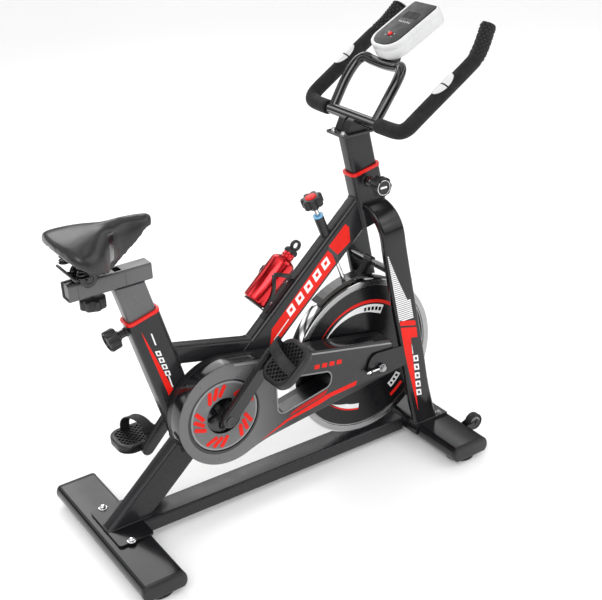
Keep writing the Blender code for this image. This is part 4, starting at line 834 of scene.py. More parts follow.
def build_crank_arm(name, side, inner, outer, direction):
    up = direction.cross(Y)
    lean = math.degrees(math.asin((0.02 - 0.0165) / CRANK_LENGTH))
    root, tip_arc = arc((0, 0), 0.02, 90 - lean, 270 + lean, 24), arc((CRANK_LENGTH, 0), 0.0165, -90 + lean,
        90 - lean, 20)
    outline = root + tip_arc
    steps = ((inner, -0.0022), (inner - side * -0.0018, -0.0002), (outer - side * 0.004, 0.0),
             (outer - side * 0.0014, -0.0012), (outer, -0.0036))
    rings = [ring_at(grown(outline, inset), CRANK + Y * y, direction, up) for y, inset in steps]
    arm = [loft(rings)]
    boss = -0.0785 if side < 0 else 0.048
    arm.append(cylinder(0.0155, CRANK + Y * boss, CRANK + Y * (inner + outer) / 2, 48))
    tip = CRANK + direction * CRANK_LENGTH
    arm.append(cylinder(0.0078, tip + Y * outer, tip + Y * (outer + side * 0.004), 32))
    arm.append(cylinder(0.006, tip + Y * (inner + outer) / 2, tip + Y * (outer + side * 0.094), 32))
    add(f"{name}_arm", arm, "black_steel", "crank", (name,), angle=30)
    cap = [(0.0118, 0.0), (0.0118, 0.0016), (0.0104, 0.0026), (0.0086, 0.002), (0.002, 0.0016)]
    add(f"{name}_bolt_cap", turned(cap, CRANK + Y * outer, Y * side, 48), "gloss_black", "crank")
    hand = name.split("_")[0]
    build_pedal(hand, side, outer, tip, {"right": math.radians(40), "left": 0.0}[hand])


def build_pedal(hand, side, crank_face, tip, pitch):
    along, up = Vector((math.cos(pitch), 0, math.sin(pitch))), Vector((-math.sin(pitch), 0, math.cos(pitch)))
    length, width, half = 0.12, 0.104, 0.011
    body = f"{hand}_pedal"
    middle = tip + Y * side * (abs(crank_face) + 0.005 + width / 2)
    outline = rounded_rectangle(length, width, 0.036, 10)
    levels = ((-half, -0.003), (-half + 0.001, -0.001), (-half + 0.003, 0.0), (half - 0.003, 0.0),
              (half - 0.001, -0.001), (half, -0.003))
    shell = [ring_at(grown(outline, inset), middle + up * h, along, Y) for h, inset in levels]
    inside = [ring_at(grown(outline, -0.011), middle + up * h, along, Y)
              for h in (half, half - 0.0045, -half + 0.0045, -half)]
    frame_ring = loft(shell + inside, closed=True)
    parts = [frame_ring]
    core = grown(outline, -0.0105)
    parts.append(loft([ring_at(core, middle + up * h, along, Y) for h in (-half + 0.0045, half - 0.0045)]))
    for angle in (35, -55):
        t = math.radians(angle)
        run, square = along * math.cos(t) + Y * math.sin(t), Y * math.cos(t) - along * math.sin(t)
        for k in range(-5, 6):
            offset = k * 0.0105
            reach = chord(core, along, run, square, offset)
            if reach is None:
                continue
            low, high = reach
            if high - low < 0.01:
                continue
            for level in (-1, 1):
                bar = rounded_rectangle(0.003, 0.0042, 0.0008, 2)
                ends = [middle + square * offset + run * s + up * level * (half - 0.0024)
                        for s in (low, high)]
                parts.append(loft([ring_at(bar, end, square, up) for end in ends]))
    parts.append(cylinder(0.0095, tip + Y * (crank_face + side * 0.005),
                          tip + Y * (crank_face + side * 0.02), 32))
    add(f"{hand}_pedal_body", parts, "black_plastic", body, (f"{hand}_pedal",), angle=40)

    span, height, skew = width / 2 - 0.007, 0.046, 0.016
    path = []
    for i in range(33):
        t = math.pi * i / 32
        flat = middle - Y * side * span * math.cos(t) + along * (0.008 + skew * math.cos(t))
        path.append(flat + up * (half + 0.0003 + height * math.sin(t) ** 0.8))
    band = rounded_rectangle(0.027, 0.0024, 0.0009, 3)
    strap = [rod(band, path, along, (up, up))]
    rib = rounded_rectangle(0.003, 0.004, 0.001, 3)
    for edge in (-0.0105, 0.0105):
        strap.append(rod(rib, [p + along * edge for p in path], along, (up, up)))
    buckle = path[5]
    square = (path[6] - path[4]).normalized()
    strap.append(loft([ring_at(rounded_rectangle(0.037, 0.015, 0.003, 4), buckle + square.cross(along) * h,
                               along, square)
                       for h in (-0.003, 0.003)]))
    add(f"{hand}_strap_band", strap, "rubber", body, (f"{hand}_toe_strap",), angle=40)


def chord(outline, along, run, square, offset):
    """Where a line across a pedal's outline enters and leaves it, as distances along run."""
    hits = []
    points = [along * a + Y * b for a, b in outline]
    for i, p in enumerate(points):
        q = points[(i + 1) % len(points)]
        a, b = p.dot(square) - offset, q.dot(square) - offset
        if (a <= 0 < b) or (b <= 0 < a):
            t = a / (a - b)
            hits.append((p + (q - p) * t).dot(run))
    return (min(hits), max(hits)) if len(hits) > 1 else None


# ---------------------------------------------------------------- belt cover
def cover_outline():
    round_part = arc((-0.1735, 0.3085), 0.1345, 78.8, 292, 90)
    start, control, end = Vector(round_part[-1]), Vector((-0.0826, 0.1986)), Vector((-0.04, 0.2039))
    fillet = []
    for i in range(1, 17):
        t = i / 16
        fillet.append(tuple(start * (1 - t) ** 2 + control * 2 * t * (1 - t) + end * t * t))
    corners = [(0.0, 0.2086), (0.339, 0.251), (0.323, 0.3474), (0.0, 0.4112)]
    front = rounded_polygon(corners, [0.001, 0.014, 0.01, 0.001], 10)
    return round_part + fillet + front[11:33]


WINDOW = rounded_polygon([(-0.034, 0.2525), (0.122, 0.2829), (0.13, 0.3212), (-0.034, 0.3545)],
                         [0.018, 0.02, 0.018, 0.018], 12)


def build_cover():
    outline = cover_outline()
    face, split, back = -0.086, -0.046, -0.0265
    steps = ((split, 0.0), (face + 0.0034, 0.0), (face + 0.0018, -0.0005), (face + 0.0006, -0.0016),
             (face, -0.0034))
    outer = loft([[Vector((x, y, z)) for x, z in grown(outline, inset)] for y, inset in steps])
    inside = grown(outline, -0.0025)
    outer = carved(outer, [prism(inside, face + 0.0025, split + 0.01)])
    outer = carved(outer, [prism(grown(WINDOW, 0.0025), face + 0.001, split)], "UNION")
    outer = carved(outer, [
        prism(WINDOW, face - 0.01, split + 0.01), cylinder(0.094, CRANK - Y * 0.1, CRANK - Y * 0.07, 128),
        cylinder(0.01, FLYWHEEL - Y * 0.1, FLYWHEEL - Y * 0.07, 40),
    ])
    for facet in outer.faces:
        centre = facet.calc_center_median()
        facet.material_index = 1 if abs(facet.normal.y) < 0.5 and not inside_window(centre) else 0
    add("belt_cover_outer", outer, ["cover_face", "gloss_black"], "bike", ("outer_belt_cover",), angle=32)
    inner = carved(prism(outline, split + 0.0003, back), [prism(inside, split - 0.01, back - 0.0025)])
    inner = carved(inner, [prism(grown(WINDOW, 0.0025), split + 0.0003, back - 0.001)], "UNION")
    inner = carved(inner, [prism(WINDOW, split - 0.01, back + 0.01),
                           cylinder(0.025, CRANK - Y * 0.06, CRANK - Y * 0.01, 64),
                           cylinder(0.03, FLYWHEEL - Y * 0.06, FLYWHEEL - Y * 0.01, 64)])
    add("belt_cover_inner", inner, "black_plastic", "bike", ("inner_belt_cover",), bevel=0.0006, angle=40)

    lip = [[Vector((x, y, z)) for x, z in grown(WINDOW, d)] for y, d in
           ((face - 0.0003, 0.0036), (face - 0.002, 0.0028), (face - 0.0026, 0.0014), (face - 0.002, 0.0002),
            (face + 0.006, 0.0))]
    add("cover_window_lip", loft(lip + [[Vector((x, face + 0.006, z)) for x, z in grown(WINDOW, 0.002)]],
                                 closed=True), "trim_grey")

    # A gloss black film ring round the crank disc's hole. Its outer edge is centred lower and further back,
    # so the ring is widest at the lower rear. It is painted shadow of the gap round the disc, not a real
    # groove.
    groove_share_and_shadow_ring = [polar(0.099, t * 3, CRANK - X * 0.0012 - Z * 0.0022) for t in range(120)]
    groove_share_and_shadow_ring = carved(face_film(groove_share_and_shadow_ring, face, -1), [cylinder(0.0942, CRANK - Y * 0.1, CRANK - Y * 0.07, 120)])
    add("cover_painted_shadow_ring", groove_share_and_shadow_ring, "gloss_black")

    # A light grey film on the cover's face, only along its top edge: painted highlight of the rounded top
    # edge.
    top = [(x, z) for x, z in grown(outline, -0.003) if z > 0.335 and x > -0.15]
    band = top + [(x, z - 0.0042) for x, z in reversed(top)]
    add("cover_top_edge_painted_highlight", face_film(band, face, -1, 0.0005), "trim_grey")

    red, dark = [], []
    red.append(face_film([(-0.089, 0.201), (-0.006, 0.227), (0.09, 0.2395), (0.123, 0.248), (0.203, 0.254),
                      (0.208, 0.266), (0.12, 0.26), (-0.01, 0.233)], face, -1))
    dark.append(face_film([(-0.005, 0.239), (0.106, 0.26), (0.116, 0.274), (0.03, 0.256), (0.006, 0.248)], face,
                      -1))
    for k in range(4):
        x = 0.078 + k * 0.0225
        z = 0.35 - k * 0.003
        red.append(face_film([(x, z - 0.0055), (x + 0.015, z - 0.008), (x + 0.017, z + 0.0035),
                          (x + 0.002, z + 0.006)], face, -1))
    add("cover_red_print", red, "red_print")
    add("cover_dark_red_print", dark, "dark_red_print")


def inside_window(point):
    return -0.045 < point.x < 0.14 and 0.24 < point.z < 0.365


# ---------------------------------------------------------------- brake
def knob_solid(centre, out, radius, length, depth, lobes, face_share, dish=0.0):
    side = Y if abs(out.y) < 0.9 else X
    up = out.cross(side)
    half = length / 2
    outline, round_one = lobed(radius, depth, lobes, lobes * 12), circle(radius, lobes * 12)
    steps = [(-half, 0.74, 0.2), (-half + 0.0012, 0.9, 0.6), (-half + 0.0035, 0.985, 1.0),
             (half - 0.0045, 1.0, 1.0),
             (half - 0.0015, 0.955, 1.0), (half - 0.0002, face_share + 0.03, 0.7), (half, face_share, 0.2)]
    if dish:
        steps += [(half - dish, face_share - 0.04, 0.1), (half - dish, 0.1, 0.0)]
    rings = []
    for h, size, groove_share_and_shadow_ring in steps:
        points = [((a * groove_share_and_shadow_ring + c * (1 - groove_share_and_shadow_ring)) * size, (b * groove_share_and_shadow_ring + d * (1 - groove_share_and_shadow_ring)) * size)
                  for (a, b), (c, d) in zip(outline, round_one)]
        rings.append(ring_at(points, centre + out * h, side, up))
    return loft(rings)


def build_brake():
    top, tip = BRAKE_BASE - BRAKE_DIR * 0.094, BRAKE_BASE + BRAKE_DIR * 0.1365
    rod_parts = [cylinder(0.0058, top, tip, 40)]
    rod_parts += [cylinder(0.0061, top + BRAKE_DIR * (0.001 + 0.0022 * k),
                           top + BRAKE_DIR * (0.002 + 0.0022 * k), 40) for k in range(9)]
    add("brake_tension_rod", rod_parts, "chrome", "brake_rod", ("brake_rod",), bevel=0.0002)
    knob = BRAKE_BASE - BRAKE_DIR * 0.1085
    add("brake_star_knob", knob_solid(knob, -BRAKE_DIR, 0.028, 0.026, 0.0075, 7, 0.72), "black_plastic",
        "brake_knob", ("brake_knob",))
    inset = [(0.0145, 0.0), (0.0145, 0.0012), (0.013, 0.0022), (0.002, 0.0026)]
    add("brake_knob_inset", turned(inset, knob - BRAKE_DIR * 0.013, -BRAKE_DIR, 48), "red_trim", "brake_knob")
    collar = turned([(0.011, 0.0), (0.0122, 0.002), (0.0122, 0.006), (0.009, 0.009)],
                    knob + BRAKE_DIR * 0.0215, -BRAKE_DIR, 48)
    add("brake_knob_skirt", collar, "black_plastic", "brake_knob")


# ---------------------------------------------------------------- seat
def build_seat():
    outer = rounded_rectangle(0.04, 0.074, 0.01)
    add("seat_post_tube", [rod(outer, [seat_point(0.395), seat_point(0.6835)], Y, (None, Z))], "post_paint",
        "seat_post", ("seat_post",), 0.0006)
    middle = 0.7025
    ends = [Vector((-0.502, 0, middle)), Vector((-0.3, 0, middle))]
    sleeve = pipe(rounded_rectangle(0.04, 0.04, 0.0045), rounded_rectangle(0.036, 0.036, 0.0025), ends)
    sleeve = carved(sleeve, [block((-0.53, -0.0115, middle + 0.01), (-0.37, 0.0115, middle + 0.03))])
    add("slider_sleeve", sleeve, "post_paint", "seat_post", bevel=0.0006, angle=40)
    seams = []
    for x in (-0.48, -0.366):
        for side in (-1, 1):
            low, high = sorted((side * 0.02, side * 0.0202))
            seams.append(block((x, low, middle - 0.0155), (x + 0.0008, high, middle + 0.0155)))
    add("sleeve_seams", seams, "black_plastic", "seat_post")
    bead = tube_rings(outer, [seat_point(0.6), seat_point(0.6823)], Y, (None, Z))[1]
    add("sleeve_weld", wire(bead, 0.0016, closed=True, side=side_of(bead)), "weld", "seat_post")
    plug = block((-0.3035, -0.0178, middle - 0.0178), (-0.3002, 0.0178, middle + 0.0178))
    add("sleeve_end_plug", plug, "grey_plastic", "seat_post", bevel=0.0012)

    for name, tall, point, direction in (("seat_collar", SEAT_TUBE_TOP, seat_point, SEAT_DIR),
        ("head_collar", HEAD_TUBE_TOP, head_point, HEAD_DIR)):
        start = point(tall) + direction * 0.0003
        ring = pipe(rounded_rectangle(0.0534, 0.0874, 0.0135), rounded_rectangle(0.0408, 0.0748, 0.0102),
                    [start, start + direction * 0.008])
        add(f"{name}_trim", ring, "red_trim", "bike", (name,), 0.0014, segments=3)

    pin = SEAT_PIN
    add("seat_pin_handle", [knob_solid(pin, SEAT_BACK, 0.026, 0.029, 0.005, 8, 0.8, 0.0035)],
        "black_plastic", "seat_pin_knob", ("seat_pin_knob",))
    stem = [(0.0125, 0.0), (0.0125, 0.005), (0.0098, 0.0065), (0.0098, 0.018), (0.0118, 0.0195),
            (0.0118, 0.0245), (0.005, 0.025), (0.005, 0.0305)]
    add("seat_pin_stem", turned(stem, pin - SEAT_BACK * 0.014, -SEAT_BACK, 48), "black_steel",
        "seat_pin_knob")
    add("slider_lock_handle", knob_solid(SLIDER_KNOB, -Z, 0.031, 0.026, 0.0058, 8, 0.82, 0.003),
        "black_plastic", "slider_knob", ("slider_knob",))
    add("slider_lock_screw", cylinder(0.005, SLIDER_KNOB + Z * 0.012, SLIDER_KNOB + Z * 0.0234, 32), "steel",
        "slider_knob")
    knob = HEAD_PIN - Y * 0.081
    add("head_pin_handle", knob_solid(knob, -Y, 0.026, 0.03, 0.005, 8, 0.86, 0.002), "black_plastic",
        "head_pin_knob", ("head_pin_knob",))
    ring = [(0.019, -0.0136), (0.019, -0.015), (0.0178, -0.0153), (0.0172, -0.015), (0.0172, -0.0136)]
    parts = [turned(ring, knob, Y, 64, closed=True)]
    parts.append(loft([ring_at(rounded_rectangle(0.02, 0.0052, 0.002, 4), knob + Y * y, X, Z)
                       for y in (-0.014, -0.0128)]))
    add("head_pin_face", parts, "chrome", "head_pin_knob", bevel=0.0003)
    stem = [(0.012, 0.0), (0.012, 0.014), (0.014, 0.016), (0.014, 0.026), (0.011, 0.028), (0.005, 0.028),
            (0.005, 0.044)]
    add("head_pin_stem", turned(stem, knob + Y * 0.015, Y, 48), "black_steel", "head_pin_knob")
    boss = [(0.015, -0.025), (0.015, -0.027), (0.013, -0.0285)]
    add("head_pin_boss", turned(boss, HEAD_PIN, Y, 48), "paint")
    build_saddle()


def saddle_half_width(t):
    width = 0.024 + 0.083 / (1 + math.exp(-(t - 0.56) * 13))
    return width * math.sqrt(max(0.0, 1 - (abs(t - 0.5) * 2) ** 9))


def saddle_section(t, inset=0.0, count=28):
    """The saddle's section at t, from nose to rear: one skirt, over the crown, down and back underneath."""
    t_safe = min(max(t, 0.004), 0.996)
    w = max(saddle_half_width(t_safe), 0.006) - inset
    crown = SADDLE_CROWN + 0.0115 * math.sin(math.pi * t ** 0.9) - 0.003 * t - inset
    skirt = crown - 0.03 - 0.062 * max(0.0, math.sin(math.pi * min(1, max(0, (t - 0.08) / 0.9)))) + inset
    under = max(skirt + 0.0005, crown - 0.026 + inset)
    valley = 0.0045 * max(0.0, math.sin(math.pi * min(1.0, max(0.0, (t - 0.3) / 0.7))))
    x = SADDLE_NOSE + (SADDLE_REAR - SADDLE_NOSE) * t
    points = []
    for i in range(count + 1):
        a = math.pi * i / count
        dip = valley * math.exp(-((w * math.cos(a)) / 0.02) ** 2)
        points.append((w * math.cos(a), skirt + (crown - skirt) * math.sin(a) ** 0.55 - dip))
    lip = 0.75 * w
    for share, z in ((-1.0, skirt), (-0.94, under), (-0.5, under), (0.0, under), (0.5, under), (0.94, under),
                     (1.0, skirt)):
        points.append((lip * share, z))
    middle = (skirt + crown) / 2
    pinch = 1.0
    for end in (t, 1 - t):
        if end < 0.035:
            pinch = min(pinch, 0.68 + 0.32 * math.sqrt(1 - (1 - end / 0.035) ** 2))
    return [Vector((x, y * (0.55 + 0.45 * pinch), middle + (z - middle) * pinch)) for y, z in points]


def inflate(solid, pressure, cap, voxel=0.0036):
    """Fills a closed form with air as cloth, and returns the swollen mesh's object."""
    bmesh.ops.translate(solid, vec=SHIFT, verts=solid.verts)
    mesh = bpy.data.meshes.new("saddle_pad")
    solid.to_mesh(mesh)
    solid.free()
    made = bpy.data.objects.new("saddle_pad", mesh)
    SCENE.collection.objects.link(made)
    remesh = made.modifiers.new("voxels", "REMESH")
    remesh.mode, remesh.voxel_size = "VOXEL", voxel
    bake(made)
    before = [v.co.copy() for v in made.data.vertices]
    cloth = made.modifiers.new("cloth", "CLOTH")
    settings = cloth.settings
    settings.use_pressure, settings.uniform_pressure_force = True, pressure
    settings.effector_weights.gravity = 0
    settings.tension_stiffness = settings.compression_stiffness = 40
    settings.bending_stiffness = 8
    settings.quality = 6
    for number in range(1, 21):
        SCENE.frame_set(number)
    bake(made)
    SCENE.frame_set(1)
    for vertex, rest in zip(made.data.vertices, before):
        step = vertex.co - rest
        vertex.co = rest + step * min(1.0, cap / max(step.length, 1e-9))
    relax = made.modifiers.new("relax", "SMOOTH")
    relax.factor, relax.iterations = 0.5, 14
    finer = made.modifiers.new("finer", "SUBSURF")
    finer.levels = finer.render_levels = 1
    bake(made)
    return made


def bake(made):
    bpy.context.view_layer.update()
    evaluated = made.evaluated_get(bpy.context.evaluated_depsgraph_get())
    mesh = bpy.data.meshes.new_from_object(evaluated)
    old, made.data = made.data, mesh
    made.modifiers.clear()
    bpy.data.meshes.remove(old)


def build_saddle():
    stations = [i / 60 for i in range(61)]
    pad = inflate(loft([saddle_section(t, 0.002) for t in stations]), 4.0, 0.006)
    mesh = pad.data
    mesh.shade_smooth()
    mesh.materials.clear()
    for each in ("vinyl", "patent"):
        mesh.materials.append(LOOKS[each][0])
    for face in mesh.polygons:
        x, y, z = face.center - SHIFT
        front = -0.424 + (z - 0.765) * 0.3
        face.material_index = int(0.004 < x - front < 0.021 and z < 0.824 and abs(face.normal.z) < 0.75)
    pad.name = "saddle_pad"
    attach(pad, "saddle")
    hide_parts("saddle_cover")

    pan = []
    for i in range(25):
        t = 0.2 + 0.74 * i / 24
        pan.append((SADDLE_NOSE + (SADDLE_REAR - SADDLE_NOSE) * t, -0.55 * saddle_half_width(t)))
    pan = pan + [(x, -y) for x, y in reversed(pan)]
    base = [slab(pan, 0.793, 0.7985)]
    for side in (-1, 1):
        rail = [(-0.492, 0.024, 0.745), (-0.478, 0.024, 0.733), (-0.43, 0.024, 0.733), (-0.395, 0.023, 0.745),
                (-0.36, 0.016, 0.77), (-0.346, 0.012, 0.7915)]
        base.append(wire(curve([Vector((x, side * y, z)) for x, y, z in rail]), 0.0035, Y, 16))
        out = Y * side
        base.append(cylinder(0.0075, SADDLE_PIVOT + out * 0.011, SADDLE_PIVOT + out * 0.026, 32))
        base.append(turned([(0.0185, 0.0212), (0.02, 0.0222), (0.02, 0.0285), (0.0185, 0.03), (0.011, 0.03),
                            (0.01, 0.0288), (0.002, 0.0288)], SADDLE_PIVOT, out, 48))
        for k in range(20):
            t = 2 * math.pi * k / 20
            spoke = Vector((math.cos(t), 0, math.sin(t)))
            base.append(cylinder(0.001, SADDLE_PIVOT + spoke * 0.0198 + out * 0.0225,
                                 SADDLE_PIVOT + spoke * 0.0198 + out * 0.0282, 6))
        nut = SADDLE_PIVOT + out * 0.03
        base.append(cylinder(0.007, nut, nut + out * 0.0055, 6))
    base.append(cylinder(0.0045, SADDLE_PIVOT - Y * 0.02, SADDLE_PIVOT + Y * 0.02, 24))
    base.append(wire([Vector((-0.492, y, 0.745)) for y in (-0.052, 0, 0.052)], 0.0035, X, 16))
    add("saddle_rails_and_pan", base, "black_steel", "saddle", ("saddle_base",), angle=40)
    for hand, side in SIDES:
        base = Vector((-0.475, side * 0.05, 0.75))
        turns, steps = 4, 144
        path = []
        for i in range(steps + 1):
            t = 2 * math.pi * turns * i / steps
            radius = 0.0115 - 0.0016 * math.sin(math.pi * i / steps)
            path.append(base + Vector((radius * math.cos(t), radius * math.sin(t),
                                       0.0016 + 0.0335 * i / steps)))
        foot = turned([(0.0135, -0.0006), (0.0135, 0.0008)], base, Z, 32)
        add(f"{hand}_coil_spring", [wire(path, 0.0017, Z, 10), foot], "black_steel", "saddle",
            (f"{hand}_saddle_spring",))


# ---------------------------------------------------------------- handlebar and monitor
def arm_path(side):
    corner = [(0.278, 0.1, 0.937), (0.278, 0.135, 0.937), (0.279, 0.162, 0.9375), (0.2835, 0.18, 0.94),
              (0.294, 0.1905, 0.9475), (0.31, 0.193, 0.959)]
    straight = [(0.35, 0.193, 0.984), (0.47, 0.193, 1.058)]
    tip = [(0.495, 0.19, 1.074), (0.518, 0.182, 1.093), (0.537, 0.174, 1.115), (0.5546, 0.166, 1.137)]
    return curve([Vector((x, side * y, z)) for x, y, z in corner + straight + tip], 8)


def build_handlebar():
    outer = rounded_rectangle(0.04, 0.074, 0.01)
    plate = [(x + 0.268, y) for x, y in rounded_rectangle(0.092, 0.076, 0.006)]
    add("handlebar_post_tube", [rod(outer, [head_point(0.69), head_point(0.901)], Y, (None, Z))], "paint",
        "handlebar", ("handlebar_post",), 0.0006)
    add("handlebar_plate", slab(plate, 0.9, 0.906), "black_steel", "handlebar", bevel=0.001)

    count = 48
    fluted = []
    for i in range(count):
        t = 2 * math.pi * i / count
        radius = BAR_RADIUS + 0.0004 + 0.0007 * math.cos(12 * t)
        fluted.append((radius * math.cos(t), radius * math.sin(t)))
    crossbar = rod(fluted, [Vector((0.278, -0.101, 0.937)), Vector((0.278, 0.101, 0.937))], Z)
    hoop = [(0.278, 0.085, 0.937), (0.299, 0.088, 0.9675), (0.32, 0.09, 0.998), (0.342, 0.089, 1.026),
            (0.359, 0.083, 1.045), (0.37, 0.069, 1.053), (0.376, 0.05, 1.0475), (0.378, 0.0, 1.044)]
    right = [Vector((x, -y, z)) for x, y, z in hoop]
    left = [Vector((x, y, z)) for x, y, z in reversed(hoop[:-1])]
    tube = wire(curve(right + left, 6), BAR_RADIUS, X, 32)
    under = MONITOR_CENTRE - MONITOR_OUT * (MONITOR_DEPTH + 0.0003)
    front, back = under - MONITOR_ALONG * 0.036, under - MONITOR_ALONG * 0.068
    wedge = prism([(0.366, 1.044), (0.406, 1.044), (front.x, front.z), (back.x, back.z)], -0.02, 0.02)
    tips = []
    for side in (-1, 1):
        path = arm_path(side)
        ending = (path[-1] - path[-2]).normalized()
        tips.append(turned([(0.0165, -0.001), (0.0172, 0.0012), (0.016, 0.003), (0.01, 0.0036),
                            (0.001, 0.0037)], path[-1], ending, 40))
    add("handlebar_tube", [crossbar, tube], "gloss_black", "handlebar", ("handlebar",), angle=50)
    add("handlebar_end_plugs", tips, "black_plastic", "handlebar")
    corners = [(0.242, 0.9063), (0.316, 0.9063), (0.298, 0.938), (0.258, 0.938)]
    clamp = [prism(rounded_polygon(corners, [0.002, 0.002, 0.012, 0.012], 8), y - 0.012, y + 0.012)
             for y in (-0.016, 0.016)]
    clamp.append(prism(rounded_polygon([(x, z - 0.004) for x, z in corners], [0.002, 0.002, 0.012, 0.012],
                                       8), -0.006, 0.006))
    add("handlebar_clamp", clamp + [wedge], "black_plastic", "handlebar", bevel=0.001)
    bolts = []
    for x in (0.234, 0.302):
        for y in (-0.02, 0.02):
            at = Vector((x, y, 0.9061))
            bolts.append(turned([(0.0075, 0), (0.0075, 0.0012), (0.0052, 0.0014), (0.0052, 0.005),
                                 (0.004, 0.0064), (0.0008, 0.0068)], at, Z, 32))
    add("clamp_bolts", bolts, "chrome", "handlebar")
    for hand, side in SIDES:
        build_grip(hand, side)
    build_monitor()


def build_grip(hand, side):
    path = arm_path(side)
    rings = []
    outline = circle(1.0, 36)
    for i, ring in enumerate(carried_rings(outline, path, Z)):
        radius = GRIP_RADIUS
        if i == 0:
            radius -= 0.0012
        centre = path[i]
        rings.append([centre + (p - centre) * radius for p in ring])
    inside = carried_rings(circle(BAR_RADIUS + 0.0006, 36), path, Z)
    add(f"{hand}_foam_grip", loft(rings + inside[::-1], closed=True), "foam", "handlebar", (f"{hand}_grip",))
    ribs = []
    tip = path[-25:]
    for k in range(1, 12):
        place_at = k / 12 * (len(tip) - 1)
        low = int(place_at)
        share = place_at - low
        at = tip[low].lerp(tip[min(low + 1, len(tip) - 1)], share)
        along = (tip[min(low + 1, len(tip) - 1)] - tip[max(low - 1, 0)]).normalized()
        across = (Y - along * Y.dot(along)).normalized()
        up = along.cross(across)
        for j in range(10):
            t = 2 * math.pi * (j + 0.5 * (k % 2)) / 10
            out = across * math.cos(t) + up * math.sin(t)
            sideways = along.cross(out)
            base = at + out * (GRIP_RADIUS - 0.0006)
            pad = rounded_rectangle(0.0072, 0.006, 0.002, 3)
            ribs.append(loft([ring_at(pad, base, sideways, along),
                              ring_at(grown(pad, -0.0008), base + out * 0.0018, sideways, along)]))
    add(f"{hand}_grip_pads", ribs, "rubber", "handlebar")

    middle, reach = Vector((0.404, side * 0.193, 1.0175)), 0.0345
    along = Vector((0.12, 0, 0.074)).normalized()
    up = along.cross(Y)
    gap_half = 0.0022
    plates = []
    for part in (-1, 1):
        rows = []
        for i in range(15):
            s = gap_half + (reach - gap_half) * i / 14
            half_width = 0.015 * math.sqrt(max(0.0, 1 - (s / reach) ** 2))
            spread = max(half_width / GRIP_RADIUS, 0.02)
            row = []
            for j in range(13):
                t = -spread + 2 * spread * j / 12
                row.append((s * part, t))
            rows.append(row)
        plates.append(shell_on_bar(rows, middle, along, up, GRIP_RADIUS + 0.0002, GRIP_RADIUS + 0.002))
    add(f"{hand}_pulse_sensor", plates, "white_plastic", "handlebar", angle=50)
    rim = []
    for i in range(40):
        t = 2 * math.pi * i / 40
        s, a = (reach + 0.0012) * math.cos(t), 0.0162 / GRIP_RADIUS * math.sin(t)
        rim.append(middle + along * s + (up * math.cos(a) + Y * math.sin(a)) * (GRIP_RADIUS + 0.0004))
    add(f"{hand}_sensor_rim", wire(rim, 0.0009, up, 8, closed=True), "black_plastic", "handlebar")


def shell_on_bar(rows, middle, along, up, low, high):
    """A curved plate on a round bar, from rows of (distance along, angle round) points."""
    bm = bmesh.new()
    layers = []
    for radius in (low, high):
        layers.append([[bm.verts.new(middle + along * s + (up * math.cos(a) + Y * math.sin(a)) * radius)
                        for s, a in row] for row in rows])
    inner, outer = layers
    for i in range(len(rows) - 1):
        for j in range(len(rows[0]) - 1):
            for layer in layers:
                bm.faces.new((layer[i][j], layer[i + 1][j], layer[i + 1][j + 1], layer[i][j + 1]))
        for j in (0, len(rows[0]) - 1):
            bm.faces.new((inner[i][j], inner[i + 1][j], outer[i + 1][j], outer[i][j]))
    for i in (0, len(rows) - 1):
        for j in range(len(rows[0]) - 1):
            bm.faces.new((inner[i][j], inner[i][j + 1], outer[i][j + 1], outer[i][j]))
    bmesh.ops.recalc_face_normals(bm, faces=bm.faces)
    return bm


def monitor_ring(outline, depth):
    return ring_at(outline, MONITOR_CENTRE - MONITOR_OUT * depth, MONITOR_ALONG, Y)


